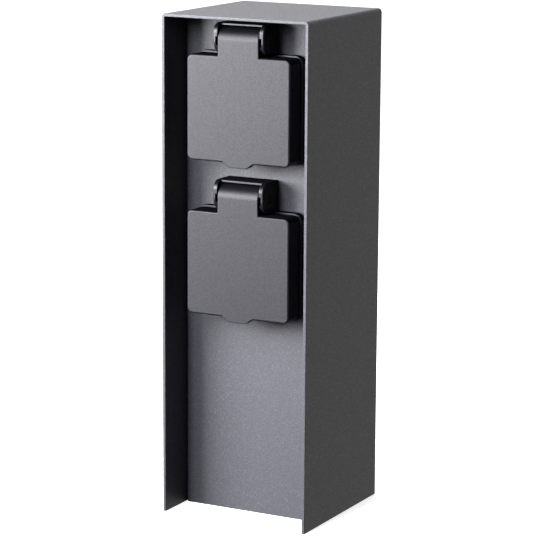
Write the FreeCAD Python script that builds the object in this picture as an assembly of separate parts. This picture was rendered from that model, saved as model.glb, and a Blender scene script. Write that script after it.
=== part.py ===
import FreeCAD
import Part
import math
import os

# Garden socket column, millimetres.
# X to the right, Y to the back, Z up; the origin is at the middle of the footprint, on the ground.

os.makedirs("parts", exist_ok=True)

# Column shell
WIDTH = 80.0
DEPTH = 79.0
HEIGHT = 250.0
HOOD_SHEET = 1.6
HOOD_BEND = 2.0
PANEL_SHEET = 1.5
PANEL_BEND = 2.0
PANEL_SETBACK = 20.5
PANEL_TOP_GAP = 0.1
RETURN_WIDTH = 11.5
BACK_SHEET = 1.6
BACK_EDGE_GAP = 0.25
BACK_SCREW_LOW = 45.0
BACK_SCREW_DROP = 35.0
TAB_SCREW_HEIGHT = 12.0
TAB_SCREW_X = 9.0

# Small screws, all with the same thread
SCREW_R = 1.5
SCREW_HOLE_GAP = 0.2
THREAD_GAP = 0.05
COUNTERSUNK_HEAD_R = 2.75
HEAD_GAP = 0.1
PAN_HEAD_R = 2.8
PAN_HEAD_HEIGHT = 2.0
BACK_SCREW_LENGTH = 8.0
CLINCH_NUT_R = 2.9
CLINCH_NUT_HEIGHT = 3.0
HEX_SIDES = 6
HEX_NUT_AF = 5.5
HEX_NUT_HEIGHT = 2.4

# Base plate and cable inlet
BASE_SHEET = 2.0
BASE_GAP = 0.2
BASE_BEND = 2.5
BASE_SIDE_TAB = (18.0, 22.0)
BASE_REAR_TAB = (32.0, 24.0)
GROUND_HOLE_R = 2.75
GROUND_SPACING_X = 56.0
GROUND_SPACING_Y = 36.0
GROMMET_BORE_R = 9.0
GROMMET_WALL = 2.0
GROMMET_FLANGE_R = 13.5
GROMMET_FLANGE = 2.0

# Bracket over the base plate
BRACKET_SHEET = 1.5
BRACKET_HALF_WIDTH = 24.5
BRACKET_FOOT = 10.0
BRACKET_DEPTH = 28.0
BRACKET_HEIGHT = 31.5
BRACKET_BACK_WIDTH = 42.0
BRACKET_BACK_TOP = 72.0
FOOT_SCREW_TIP = 0.3

# Cable gland
GLAND_THREAD_R = 9.9
GLAND_HOLE_GAP = 0.3
GLAND_AF = 24.0
GLAND_BODY_HEX = 5.0
GLAND_TOP_THREAD = 10.0
GLAND_LOW_THREAD = 10.0
GLAND_BORE_R = 6.5
GLAND_NUT_HEIGHT = 5.0
GLAND_CAP_HEX = 11.0
GLAND_CAP_DOME = 4.0
GLAND_CAP_MOUTH_R = 5.2
GLAND_CAP_LIP = 2.0
GLAND_GAP = 0.1
BUSH_BORE_R = 4.5
BUSH_LENGTH = 10.0

# Terminal block, three poles
POLE_PITCH = 12.0
POLE_COUNT = 3
BLOCK_WIDTH = 38.0
BLOCK_DEPTH = 13.5
BLOCK_HEIGHT = 18.0
BLOCK_BOTTOM = 50.0
CLAMP_SIZE = 7.0
CLAMP_LENGTH = 14.0
CLAMP_BORE_R = 1.9
CLAMP_GAP = 0.1
CLAMP_SCREW_R = 1.25
CLAMP_SCREW_HEAD_R = 1.9
CLAMP_SCREW_HEAD = 2.0
CLAMP_SCREW_PITCH = 7.0
FUNNEL_R = 2.4

# Earth stud on the right flange of the panel channel
STUD_R = 2.4
STUD_LENGTH = 12.0
STUD_GAP = 0.1
STUD_Y = 15.0
STUD_Z = 84.0
LUG_RING_R = 4.5
LUG_SHEET = 1.0
LUG_BARREL_R = 2.0
LUG_BARREL_LENGTH = 8.0
LUG_DROP = 14.0
STUD_NUT_AF = 8.0
STUD_NUT_HEIGHT = 4.0

# Wires
WIRE_R = 1.3
WIRE_BEND = 7.0
WIRE_CLEARANCE = 10.5
FEED_SHARE = 0.27
WIRE_END_GAP = 0.3
ARC_SHARE = 0.45

# Sockets: from the roof down to the middle of the upper well, and the step to the lower one
UPPER_SOCKET_DROP = 45.0
SOCKET_PITCH = 76.4

# Lid
LID_WIDTH = 56.4
LID_HEIGHT = 51.6
LID_CORNER = 2.8
LID_PROUD = 16.5
LID_FRONT_WALL = 2.0
LID_SKIRT = 1.8
LID_EDGE = 0.5
LID_BACK_GAP = 0.3
PULL_HALF_WIDTH = 8.6
PULL_DROP = 2.4
PULL_SLOPE = 4.4
PULL_THICKNESS = 4.0
TONGUE_HALF_WIDTH = 11.2

# Hinge
PIN_R = 1.9
PIN_PROUD = 9.5
PIN_RISE = 7.1
PIN_EAR_GAP = 0.03
PIN_KNUCKLE_GAP = 0.08
PIN_END_RECESS = 0.2
EAR_GAP = 0.3
EAR_THICKNESS = 2.3
EAR_R = 6.7
EAR_TOP_CORNER = 4.6
BAR_UNDERSIDE = 7.45
BAR_THICKNESS = 1.1
BAR_FRONT = 2.9
BAR_EDGE = 0.66
BLOCK_BACK_GAP = 0.3
BLOCK_BACK_WALL = 1.6
LEAD_IN_DEPTH = 1.1
LEAD_IN_GAP = 0.2
SPRING_WIRE_R = 0.35
SPRING_R = 2.9
SPRING_TURNS = 7
SPRING_PITCH = 1.2
SPRING_LEG_ANGLE = 160.0
SPRING_POCKET_R = 5.0
SPRING_POCKET_HALF = 5.6

# Socket flange and gasket
FLANGE_MARGIN = 0.65
FLANGE_TOP_MARGIN = 0.85
FLANGE_PROUD = 4.9
FLANGE_CORNER = 4.0
FLANGE_EDGE = 0.5
GASKET = 1.0
GASKET_INSET = 0.6
FLANGE_SCREW_INSET = 3.8
FLANGE_SCREW_TAIL = 0.6

# Plug well and body behind the panel
WELL_R = 19.7
WELL_DEPTH = 17.5
WELL_WALL = 2.5
WELL_FLOOR = 2.4
RIM_PROUD = 12.9
TUBE_WALL = 1.3
CUTOUT_GAP = 0.4
PIN_SPACING = 19.0
PIN_HOLE_R = 2.9
CARRIER_GAP = 0.2
CARRIER_DEPTH = 18.0
COVER_THICKNESS = 2.0
BOSS_R = 3.2
BOSS_LENGTH = 6.0
BOSS_AT = 12.2
COVER_SCREW_R = 1.4
SEAL_INNER_R = 19.9
SEAL_GAP = 0.2

# Contacts
SLEEVE_R = 3.6
SLEEVE_BORE_R = 2.55
SLEEVE_SLIT = 0.8
TAB_WIDTH = 3.6
TERMINAL_X = 16.0
TERMINAL_HALF_WIDTH = 3.0
TERMINAL_HALF_HEIGHT = 3.5
TERMINAL_FRONT = 4.0
TERMINAL_BACK = 13.0
WIRE_HOLE_GAP = 0.2
WIRE_DEPTH = 8.0
POCKET_GAP = 0.3
CARRIER_FRONT_WALL = 1.0
STRAP_WIDTH = 6.2
STRAP_SHEET = 0.8
STRAP_LEG_AT = 18.1
STRAP_STRAIGHT = 1.0
STRAP_REACH = 11.0
STRAP_BULGE = 2.0
SLOT_GAP = 0.3
DRIVER_HOLE_R = 3.0

# Places worked out from the sizes above
half_width = WIDTH / 2
front = -DEPTH / 2
back = DEPTH / 2
hood_inner_x = half_width - HOOD_SHEET
roof_underside = HEIGHT - HOOD_SHEET
panel_top = HEIGHT - HOOD_BEND - PANEL_TOP_GAP
panel_front = front + PANEL_SETBACK
panel_back = panel_front + PANEL_SHEET
panel_inner_x = hood_inner_x - PANEL_SHEET
return_back = back - BACK_SHEET
return_front = return_back - PANEL_SHEET
return_inner_x = hood_inner_x - RETURN_WIDTH
back_screw_x = (return_inner_x + panel_inner_x) / 2
base_front = panel_back + BASE_GAP
base_back = return_front - BASE_GAP
base_half_width = panel_inner_x - BASE_GAP
ground_y = (base_front + base_back) / 2
grommet_hole_r = GROMMET_BORE_R + GROMMET_WALL
grommet_top = BASE_SHEET + GROMMET_FLANGE
bracket_back_y = ground_y + BRACKET_DEPTH / 2
shelf_underside = BRACKET_HEIGHT - BRACKET_SHEET
block_back_y = bracket_back_y - BRACKET_SHEET
block_front_y = block_back_y - BLOCK_DEPTH
pole_y = (block_front_y + block_back_y) / 2
block_top = BLOCK_BOTTOM + BLOCK_HEIGHT
block_middle_z = BLOCK_BOTTOM + BLOCK_HEIGHT / 2
upper_socket_z = HEIGHT - UPPER_SOCKET_DROP
lower_socket_z = upper_socket_z - SOCKET_PITCH
pole_xs = [(i - (POLE_COUNT - 1) / 2) * POLE_PITCH for i in range(POLE_COUNT)]

flange_front = panel_front - FLANGE_PROUD
flange_back = panel_front - GASKET
flange_width = LID_WIDTH + 2 * FLANGE_MARGIN
flange_height = LID_HEIGHT + 2 * FLANGE_TOP_MARGIN
lid_front = panel_front - LID_PROUD
lid_inside = lid_front + LID_FRONT_WALL
lid_back = flange_front - LID_BACK_GAP
pin_y = panel_front - PIN_PROUD
knuckle_r = pin_y - lid_front
ear_inner_x = TONGUE_HALF_WIDTH + EAR_GAP
ear_outer_x = ear_inner_x + EAR_THICKNESS
block_back = panel_front - BLOCK_BACK_GAP
rim_y = panel_front - RIM_PROUD
floor_front = rim_y + WELL_DEPTH
floor_back = floor_front + WELL_FLOOR
collar_r = WELL_R + WELL_WALL
tube_inner_r = collar_r - TUBE_WALL
carrier_r = tube_inner_r - CARRIER_GAP
carrier_back = floor_back + CARRIER_DEPTH
tube_back = carrier_back + COVER_THICKNESS
cutout_r = collar_r + CUTOUT_GAP
flange_screw_x = LID_WIDTH / 2 - LID_SKIRT - FLANGE_SCREW_INSET
flange_screw_z = LID_HEIGHT / 2 - LID_SKIRT - FLANGE_SCREW_INSET
screw_hole_r = SCREW_R + SCREW_HOLE_GAP
wire_y = floor_back + WIRE_DEPTH
wire_hole_r = WIRE_R + WIRE_HOLE_GAP
terminal_xs = (-TERMINAL_X, 0.0, TERMINAL_X)

X_AXIS = FreeCAD.Vector(1, 0, 0)
Y_AXIS = FreeCAD.Vector(0, 1, 0)
Z_AXIS = FreeCAD.Vector(0, 0, 1)


def point(x, y, z):
    """A point of the column's frame."""
    return FreeCAD.Vector(x, y, z)


def box(x0, x1, y0, y1, z0, z1):
    """A block between two corners."""
    return Part.makeBox(x1 - x0, y1 - y0, z1 - z0, point(x0, y0, z0))


def rod(radius, start, end):
    """A round bar between two points."""
    way = end - start
    return Part.makeCylinder(radius, way.Length, start, way)


def upright(radius, x, y, z0, z1):
    """A round bar along Z."""
    return rod(radius, point(x, y, z0), point(x, y, z1))


def across(radius, y, z, x0, x1):
    """A round bar along X."""
    return rod(radius, point(x0, y, z), point(x1, y, z))


def deep(radius, x, z, y0, y1):
    """A round bar along Y."""
    return rod(radius, point(x, y0, z), point(x, y1, z))


def cone(r_start, r_end, start, end):
    """A round taper between two points."""
    way = end - start
    return Part.makeCone(r_start, r_end, way.Length, start, way)


def fuse(solids):
    """One solid from touching or overlapping ones, with split faces joined again."""
    return solids[0].multiFuse(solids[1:]).removeSplitter()


def cut(solid, tools):
    """The solid less every tool."""
    return solid.cut(Part.makeCompound(tools))


def outline(steps):
    """A closed wire through (point,) lines and (middle, end) arcs, starting at the first point."""
    edges = []
    start = steps[0][-1]
    here = start
    for step in steps[1:] + [(start,)]:
        end = step[-1]
        if len(step) == 2:
            edges.append(Part.Arc(here, step[0], end).toShape())
        elif (end - here).Length > 1e-6:
            edges.append(Part.LineSegment(here, end).toShape())
        here = end
    return Part.Wire(edges)


def slab(steps, way):
    """A solid that carries an outline along a vector."""
    return Part.Face(outline(steps)).extrude(way)


def rounded_rectangle(half_w, half_h, radius, y, z_middle):
    """The steps of a rounded rectangle that faces the front."""
    steps = [(point(-half_w, y, z_middle - half_h + radius),)]
    corners = ((-1, 1), (1, 1), (1, -1), (-1, -1))
    for number, (side, up) in enumerate(corners):
        middle_x = side * (half_w - radius)
        middle_z = z_middle + up * (half_h - radius)
        first_is_side = number % 2 == 0
        on_side = point(side * half_w, y, middle_z)
        on_top = point(middle_x, y, z_middle + up * half_h)
        diagonal = radius * math.sqrt(0.5)
        bulge = point(middle_x + side * diagonal, y, middle_z + up * diagonal)
        first, last = (on_side, on_top) if first_is_side else (on_top, on_side)
        steps.append((first,))
        steps.append((bulge, last))
    return steps


def hexagon(across_flats, start, end):
    """A hexagonal bar, flats across its width."""
    way = end - start
    corner_r = across_flats / math.sqrt(3)
    flats_up = Z_AXIS if abs(way.z) < way.Length / 2 else X_AXIS
    other = way.cross(flats_up)
    other.normalize()
    corners = []
    for number in range(HEX_SIDES):
        angle = 2 * math.pi * number / HEX_SIDES
        along_flats = flats_up * (corner_r * math.cos(angle))
        along_other = other * (corner_r * math.sin(angle))
        corners.append((start + along_flats + along_other,))
    return slab(corners, way)


def bend_edges(solid, axis, places, radius):
    """Round the edges that run along an axis through the given places (two coordinates each)."""
    chosen = []
    for edge in solid.Edges:
        ends = [vertex.Point for vertex in edge.Vertexes]
        if len(ends) != 2:
            continue
        way = ends[1] - ends[0]
        if way.Length < 1e-6 or abs(abs(way.dot(axis)) - way.Length) > 1e-6:
            continue
        spot = [value for value, part in zip(ends[0], axis) if part < 0.5]
        if any(math.dist(spot, place) < 1e-3 for place in places):
            chosen.append(edge)
    return solid.makeFillet(radius, chosen)


def mirrored(solid):
    """The same solid on the other side of the column."""
    return solid.mirror(point(0, 0, 0), X_AXIS)


def screw_countersunk(x, y, z, length):
    """A countersunk screw whose head is flush at y and whose tip points along its own way (+ or -)."""
    way = math.copysign(1.0, length)
    head = COUNTERSUNK_HEAD_R - SCREW_R
    seat = point(x, y + way * head, z)
    return fuse([
        cone(COUNTERSUNK_HEAD_R, SCREW_R, point(x, y, z), seat),
        rod(SCREW_R, seat, point(x, y + length, z)),
    ])


def countersink(x, y, z, way, through):
    """The hole for a countersunk screw, whose mouth is at y."""
    head_r = COUNTERSUNK_HEAD_R + HEAD_GAP
    head = head_r - screw_hole_r
    return [
        cone(head_r, screw_hole_r, point(x, y, z), point(x, y + way * head, z)),
        rod(screw_hole_r, point(x, y, z), point(x, y + way * through, z)),
    ]


def wire_tube(points):
    """A wire along straight runs joined by tangent arcs."""
    edges = []
    here = points[0]
    for before, corner, after in zip(points, points[1:], points[2:]):
        way_in = corner - before
        way_out = after - corner
        room = min(way_in.Length, way_out.Length) * ARC_SHARE
        way_in.normalize()
        way_out.normalize()
        turn = way_in.getAngle(way_out)
        setback = min(room, WIRE_BEND * math.tan(turn / 2))
        start = corner - way_in * setback
        end = corner + way_out * setback
        towards = way_out - way_in
        towards.normalize()
        radius = setback / math.tan(turn / 2)
        sagitta = radius / math.cos(turn / 2) - radius
        middle = corner + towards * sagitta
        edges.append(Part.LineSegment(here, start).toShape())
        edges.append(Part.Arc(start, middle, end).toShape())
        here = end
    edges.append(Part.LineSegment(here, points[-1]).toShape())
    path = Part.Wire(edges)
    start_way = points[1] - points[0]
    ring = Part.Wire(Part.makeCircle(WIRE_R, points[0], start_way))
    return path.makePipeShell([ring], True, False)


# Column shell

def make_hood():
    """An inverted U of sheet: two walls and the roof, with rounded bends."""
    outer = box(-half_width, half_width, front, back, 0, HEIGHT)
    outer = bend_edges(outer, Y_AXIS, [(-half_width, HEIGHT), (half_width, HEIGHT)], HOOD_BEND)
    inner = box(-hood_inner_x, hood_inner_x, front, back, 0, roof_underside)
    inner_corners = [(-hood_inner_x, roof_underside), (hood_inner_x, roof_underside)]
    inner = bend_edges(inner, Y_AXIS, inner_corners, HOOD_BEND - HOOD_SHEET)
    return outer.cut(inner)


def make_front_panel():
    """A channel: the front web with both cut-outs, side flanges and returns at the back."""
    outer = box(-hood_inner_x, hood_inner_x, panel_front, return_back, 0, panel_top)
    corners = [(side * hood_inner_x, y) for side in (-1, 1) for y in (panel_front, return_back)]
    outer = bend_edges(outer, Z_AXIS, corners, PANEL_BEND)
    inner = box(-panel_inner_x, panel_inner_x, panel_back, return_front, 0, panel_top)
    corners = [(side * panel_inner_x, y) for side in (-1, 1) for y in (panel_back, return_front)]
    inner = bend_edges(inner, Z_AXIS, corners, PANEL_BEND - PANEL_SHEET)
    opening = box(-return_inner_x, return_inner_x, return_front, return_back, 0, panel_top)
    tools = [inner, opening]
    for middle_z in socket_middles():
        tools.append(deep(cutout_r, 0, middle_z, panel_front, panel_back))
        for x, z in flange_screw_places(middle_z):
            tools.append(deep(screw_hole_r, x, z, panel_front, panel_back))
    for x, z in return_screw_places():
        tools.append(deep(screw_hole_r, x, z, return_front, return_back))
    return cut(outer, tools)


def make_back_panel():
    """The rear plate between the hood's walls, on the channel's returns."""
    edge_x = hood_inner_x - BACK_EDGE_GAP
    plate = box(-edge_x, edge_x, return_back, back, 0, roof_underside - BACK_EDGE_GAP)
    tools = []
    for x, z in return_screw_places() + tab_screw_places():
        tools += countersink(x, back, z, -1, BACK_SHEET)
    return cut(plate, tools)


def return_screw_places():
    """Where the rear plate is screwed to the channel's returns."""
    high = HEIGHT - BACK_SCREW_DROP
    heights = (BACK_SCREW_LOW, (BACK_SCREW_LOW + high) / 2, high)
    return [(side * back_screw_x, z) for side in (-1, 1) for z in heights]


def tab_screw_places():
    """Where the rear plate is screwed to the base plate's tab."""
    return [(side * TAB_SCREW_X, TAB_SCREW_HEIGHT) for side in (-1, 1)]


def make_back_screws():
    """The countersunk screws of the rear plate."""
    places = return_screw_places() + tab_screw_places()
    return Part.makeCompound([screw_countersunk(x, back, z, -BACK_SCREW_LENGTH) for x, z in places])


def make_clinch_nuts():
    """Round clinch nuts inside the returns and the base plate's tab."""
    nuts = []
    bore = SCREW_R + THREAD_GAP
    seats = [(x, return_front, z) for x, z in return_screw_places()]
    seats += [(x, return_back - BASE_SHEET, z) for x, z in tab_screw_places()]
    for x, y, z in seats:
        far = point(x, y - CLINCH_NUT_HEIGHT, z)
        nuts.append(rod(CLINCH_NUT_R, far, point(x, y, z)).cut(rod(bore, far, point(x, y, z))))
    return Part.makeCompound(nuts)


def ground_hole_places():
    """The middles of the ground-fixing holes."""
    xs = (-GROUND_SPACING_X / 2, GROUND_SPACING_X / 2)
    ys = (ground_y - GROUND_SPACING_Y / 2, ground_y + GROUND_SPACING_Y / 2)
    return [(x, y) for x in xs for y in ys]


def bent_tab(axis, half_length, middle, edge, inside, height):
    """A tab that turns up at an edge: the corner blank less its hollow, both rounded by the bend."""
    def blank(reach, low, radius):
        if axis == Y_AXIS:
            solid = box(inside, reach, middle - half_length, middle + half_length, low, height)
        else:
            solid = box(middle - half_length, middle + half_length, inside, reach, low, height)
        return bend_edges(solid, axis, [(reach, low)], radius)

    return blank(edge, 0, BASE_BEND).cut(blank(edge - BASE_SHEET, BASE_SHEET, BASE_BEND - BASE_SHEET))


def make_base_plate():
    """The plate on the ground, with an upturned tab at each side and at the back."""
    plate = box(-base_half_width, base_half_width, base_front, base_back, 0, BASE_SHEET)
    side_height, side_length = BASE_SIDE_TAB
    rear_width, rear_height = BASE_REAR_TAB
    bend_start = base_half_width - BASE_BEND
    relief = box(bend_start, base_half_width, ground_y - side_length / 2, ground_y + side_length / 2,
                 0, BASE_SHEET)
    plate = cut(plate, [relief, mirrored(relief)])
    side_tab = bent_tab(Y_AXIS, side_length / 2, ground_y, base_half_width, bend_start - BASE_BEND, side_height)
    rear_tab = bent_tab(X_AXIS, rear_width / 2, 0, return_back, base_back - BASE_BEND, rear_height)
    tools = [upright(GROUND_HOLE_R, x, y, 0, BASE_SHEET) for x, y in ground_hole_places()]
    tools.append(upright(grommet_hole_r, 0, ground_y, 0, BASE_SHEET))
    tools += [deep(screw_hole_r, x, z, return_back - BASE_SHEET, return_back) for x, z in tab_screw_places()]
    tools += [upright(SCREW_R + THREAD_GAP, x, ground_y, 0, BASE_SHEET) for x in foot_screw_xs()]
    return cut(fuse([plate, side_tab, mirrored(side_tab), rear_tab]), tools)


def foot_screw_xs():
    """The middles of the bracket's feet."""
    middle = BRACKET_HALF_WIDTH - BRACKET_FOOT / 2
    return (-middle, middle)


def make_cable_grommet():
    """A rubber ring that lines the cable hole, with a flange on the plate."""
    ring = fuse([
        upright(grommet_hole_r, 0, ground_y, 0, grommet_top),
        upright(GROMMET_FLANGE_R, 0, ground_y, BASE_SHEET, grommet_top),
    ])
    return ring.cut(upright(GROMMET_BORE_R, 0, ground_y, 0, grommet_top))


def make_bracket():
    """A bridge over the cable hole: feet, legs, a shelf for the gland and a back for the terminals."""
    y0 = ground_y - BRACKET_DEPTH / 2
    y1 = bracket_back_y
    outer_x = BRACKET_HALF_WIDTH
    leg = box(outer_x - BRACKET_SHEET, outer_x, y0, y1, BASE_SHEET, BRACKET_HEIGHT)
    foot = box(outer_x - BRACKET_FOOT, outer_x, y0, y1, BASE_SHEET, BASE_SHEET + BRACKET_SHEET)
    shelf = box(-outer_x, outer_x, y0, y1, shelf_underside, BRACKET_HEIGHT)
    rear = box(-BRACKET_BACK_WIDTH / 2, BRACKET_BACK_WIDTH / 2, y1 - BRACKET_SHEET, y1,
               shelf_underside, BRACKET_BACK_TOP)
    body = fuse([leg, foot, mirrored(leg), mirrored(foot), shelf, rear])
    gland_hole = GLAND_THREAD_R + GLAND_HOLE_GAP
    tools = [upright(gland_hole, 0, ground_y, shelf_underside, BRACKET_HEIGHT)]
    for x in foot_screw_xs():
        foot_top = BASE_SHEET + BRACKET_SHEET
        tools.append(upright(screw_hole_r, x, ground_y, BASE_SHEET, foot_top))
    for x in block_screw_xs():
        tools.append(deep(SCREW_R + THREAD_GAP, x, block_middle_z, y1 - BRACKET_SHEET, y1))
    return cut(body, tools)


def make_bracket_screws():
    """Pan-head screws through the bracket's feet into the base plate."""
    screws = []
    foot_top = BASE_SHEET + BRACKET_SHEET
    for x in foot_screw_xs():
        head = upright(PAN_HEAD_R, x, ground_y, foot_top, foot_top + PAN_HEAD_HEIGHT)
        shank = upright(SCREW_R, x, ground_y, FOOT_SCREW_TIP, foot_top)
        screws.append(fuse([head, shank]))
    return Part.makeCompound(screws)


# Cable gland, hanging under the bracket's shelf

def make_gland_body():
    """Threaded body: long thread up through the shelf, hexagon under it, short thread below."""
    hex_bottom = shelf_underside - GLAND_BODY_HEX
    low_end = hex_bottom - GLAND_LOW_THREAD
    top_end = shelf_underside + GLAND_TOP_THREAD
    body = fuse([
        upright(GLAND_THREAD_R, 0, ground_y, low_end, top_end),
        hexagon(GLAND_AF, point(0, ground_y, hex_bottom), point(0, ground_y, shelf_underside)),
    ])
    return body.cut(upright(GLAND_BORE_R, 0, ground_y, low_end, top_end))


def gland_cap_levels():
    """Top of the dome nut, bottom of its hexagon and bottom of its dome."""
    top = shelf_underside - GLAND_BODY_HEX - WIRE_END_GAP
    hex_bottom = top - GLAND_CAP_HEX
    return top, hex_bottom, hex_bottom - GLAND_CAP_DOME


def make_gland_cap():
    """The dome nut that presses the bush round the cable."""
    top, hex_bottom, bottom = gland_cap_levels()
    cap = fuse([
        hexagon(GLAND_AF, point(0, ground_y, hex_bottom), point(0, ground_y, top)),
        cone(GLAND_CAP_MOUTH_R + GLAND_CAP_LIP, GLAND_AF / 2, point(0, ground_y, bottom),
             point(0, ground_y, hex_bottom)),
    ])
    thread_end = shelf_underside - GLAND_BODY_HEX - GLAND_LOW_THREAD
    tools = [
        upright(GLAND_THREAD_R + GLAND_GAP, 0, ground_y, thread_end - GLAND_GAP, top),
        upright(GLAND_BORE_R, 0, ground_y, bottom + GLAND_CAP_LIP, top),
        upright(GLAND_CAP_MOUTH_R, 0, ground_y, bottom, top),
    ]
    return cut(cap, tools)


def make_gland_bush():
    """The rubber bush between the dome nut and the body's bore."""
    bottom = gland_cap_levels()[2] + GLAND_CAP_LIP
    top = bottom + BUSH_LENGTH
    outer = upright(GLAND_BORE_R - GLAND_GAP, 0, ground_y, bottom, top)
    return outer.cut(upright(BUSH_BORE_R, 0, ground_y, bottom, top))


def make_gland_locknut():
    """The hexagon nut on the shelf."""
    top = BRACKET_HEIGHT + GLAND_NUT_HEIGHT
    nut = hexagon(GLAND_AF, point(0, ground_y, BRACKET_HEIGHT), point(0, ground_y, top))
    return nut.cut(upright(GLAND_THREAD_R + GLAND_GAP, 0, ground_y, BRACKET_HEIGHT, top))


# Terminal block on the bracket's back

def block_screw_xs():
    """The fixing holes lie half way between the poles."""
    return (-POLE_PITCH / 2, POLE_PITCH / 2)


def clamp_screw_zs():
    """Heights of the two screws of each clamp."""
    return (block_middle_z - CLAMP_SCREW_PITCH / 2, block_middle_z + CLAMP_SCREW_PITCH / 2)


def make_terminal_block():
    """The insulating housing with a pocket, two wire funnels and two screw wells for each pole."""
    housing = box(-BLOCK_WIDTH / 2, BLOCK_WIDTH / 2, block_front_y, block_back_y, BLOCK_BOTTOM, block_top)
    pocket = CLAMP_SIZE / 2 + CLAMP_GAP
    pocket_half = CLAMP_LENGTH / 2 + CLAMP_GAP
    tools = []
    for x in pole_xs:
        tools.append(box(x - pocket, x + pocket, pole_y - pocket, pole_y + pocket,
                         block_middle_z - pocket_half, block_middle_z + pocket_half))
        tools.append(upright(FUNNEL_R, x, pole_y, BLOCK_BOTTOM, block_top))
        for z in clamp_screw_zs():
            tools.append(deep(CLAMP_SCREW_HEAD_R + POCKET_GAP, x, z, block_front_y, pole_y))
    for x in block_screw_xs():
        tools.append(deep(screw_hole_r, x, block_middle_z, block_front_y, block_back_y))
    return cut(housing, tools)


def make_terminal_clamps():
    """The brass clamp bodies of the terminal block."""
    clamps = []
    half = CLAMP_SIZE / 2
    low = block_middle_z - CLAMP_LENGTH / 2
    high = block_middle_z + CLAMP_LENGTH / 2
    for x in pole_xs:
        body = box(x - half, x + half, pole_y - half, pole_y + half, low, high)
        tools = [upright(CLAMP_BORE_R, x, pole_y, low, high)]
        for z in clamp_screw_zs():
            tools.append(deep(CLAMP_SCREW_R + THREAD_GAP, x, z, pole_y - half, pole_y))
        clamps.append(cut(body, tools))
    return Part.makeCompound(clamps)


def make_clamp_screws():
    """The screws that press the wires in the clamps."""
    screws = []
    head_back = pole_y - CLAMP_SIZE / 2 - CLAMP_GAP
    tip = pole_y - WIRE_R - CLAMP_GAP
    for x in pole_xs:
        for z in clamp_screw_zs():
            head = deep(CLAMP_SCREW_HEAD_R, x, z, head_back - CLAMP_SCREW_HEAD, head_back)
            shank = deep(CLAMP_SCREW_R, x, z, head_back, tip)
            screws.append(fuse([head, shank]))
    return Part.makeCompound(screws)


def make_block_screws():
    """The two screws that hold the terminal block on the bracket."""
    screws = []
    for x in block_screw_xs():
        head_front = block_front_y - PAN_HEAD_HEIGHT
        head = deep(PAN_HEAD_R, x, block_middle_z, head_front, block_front_y)
        tip = bracket_back_y + BRACKET_SHEET
        shank = deep(SCREW_R, x, block_middle_z, block_front_y, tip)
        screws.append(fuse([head, shank]))
    return Part.makeCompound(screws)


# Earth point on the channel's right flange

def make_earth_stud():
    """A stud welded square to the flange."""
    return across(STUD_R, STUD_Y, STUD_Z, panel_inner_x - STUD_LENGTH, panel_inner_x)


def make_earth_lug():
    """A ring lug on the stud with a crimp barrel that points down."""
    face_x = panel_inner_x - LUG_SHEET
    ring = across(LUG_RING_R, STUD_Y, STUD_Z, face_x, panel_inner_x)
    barrel_low = STUD_Z - LUG_DROP
    barrel_top = barrel_low + LUG_BARREL_LENGTH
    neck_low = barrel_top - LUG_SHEET
    neck = box(face_x, panel_inner_x, STUD_Y - LUG_BARREL_R, STUD_Y + LUG_BARREL_R, neck_low, STUD_Z)
    barrel_x = panel_inner_x - LUG_BARREL_R
    barrel = upright(LUG_BARREL_R, barrel_x, STUD_Y, barrel_low, barrel_top)
    tools = [
        across(STUD_R + STUD_GAP, STUD_Y, STUD_Z, face_x, panel_inner_x),
        upright(WIRE_R + THREAD_GAP, barrel_x, STUD_Y, barrel_low, neck_low),
    ]
    return cut(fuse([ring, neck, barrel]), tools)


def make_earth_nut():
    """The hexagon nut that clamps the lug."""
    face_x = panel_inner_x - LUG_SHEET
    far = point(face_x - STUD_NUT_HEIGHT, STUD_Y, STUD_Z)
    near = point(face_x, STUD_Y, STUD_Z)
    return hexagon(STUD_NUT_AF, far, near).cut(rod(STUD_R + STUD_GAP, far, near))


# Sockets

def socket_middles():
    """Heights of the lower and the upper well."""
    return (lower_socket_z, upper_socket_z)


def flange_screw_places(middle_z):
    """The four corner screws of a flange."""
    return [(sx * flange_screw_x, middle_z + sz * flange_screw_z) for sx in (-1, 1) for sz in (-1, 1)]


def pin_height(middle_z):
    """Height of the hinge pin of one socket."""
    return middle_z + LID_HEIGHT / 2 + PIN_RISE


def cover_screw_places(middle_z):
    """The two screws behind the well lie on a diagonal."""
    return [(side * BOSS_AT, middle_z + side * BOSS_AT) for side in (-1, 1)]


def ear_profile(middle_z, x):
    """Side outline of one hinge ear: round below the pin, upright in front, rounded on top."""
    pin_z = pin_height(middle_z)
    top = pin_z + BAR_UNDERSIDE + BAR_THICKNESS
    low = pin_z - EAR_R
    flange_top = middle_z + flange_height / 2
    diagonal = math.sqrt(0.5)
    ear_front = pin_y - EAR_R
    corner_y = ear_front + EAR_TOP_CORNER
    corner_z = top - EAR_TOP_CORNER
    return [
        (point(x, block_back, flange_top),),
        (point(x, flange_back, flange_top),),
        (point(x, flange_back, low),),
        (point(x, pin_y, low),),
        (point(x, pin_y - EAR_R * diagonal, pin_z - EAR_R * diagonal), point(x, ear_front, pin_z)),
        (point(x, ear_front, corner_z),),
        (point(x, corner_y - EAR_TOP_CORNER * diagonal, corner_z + EAR_TOP_CORNER * diagonal),
         point(x, corner_y, top)),
        (point(x, block_back, top),),
    ]


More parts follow.
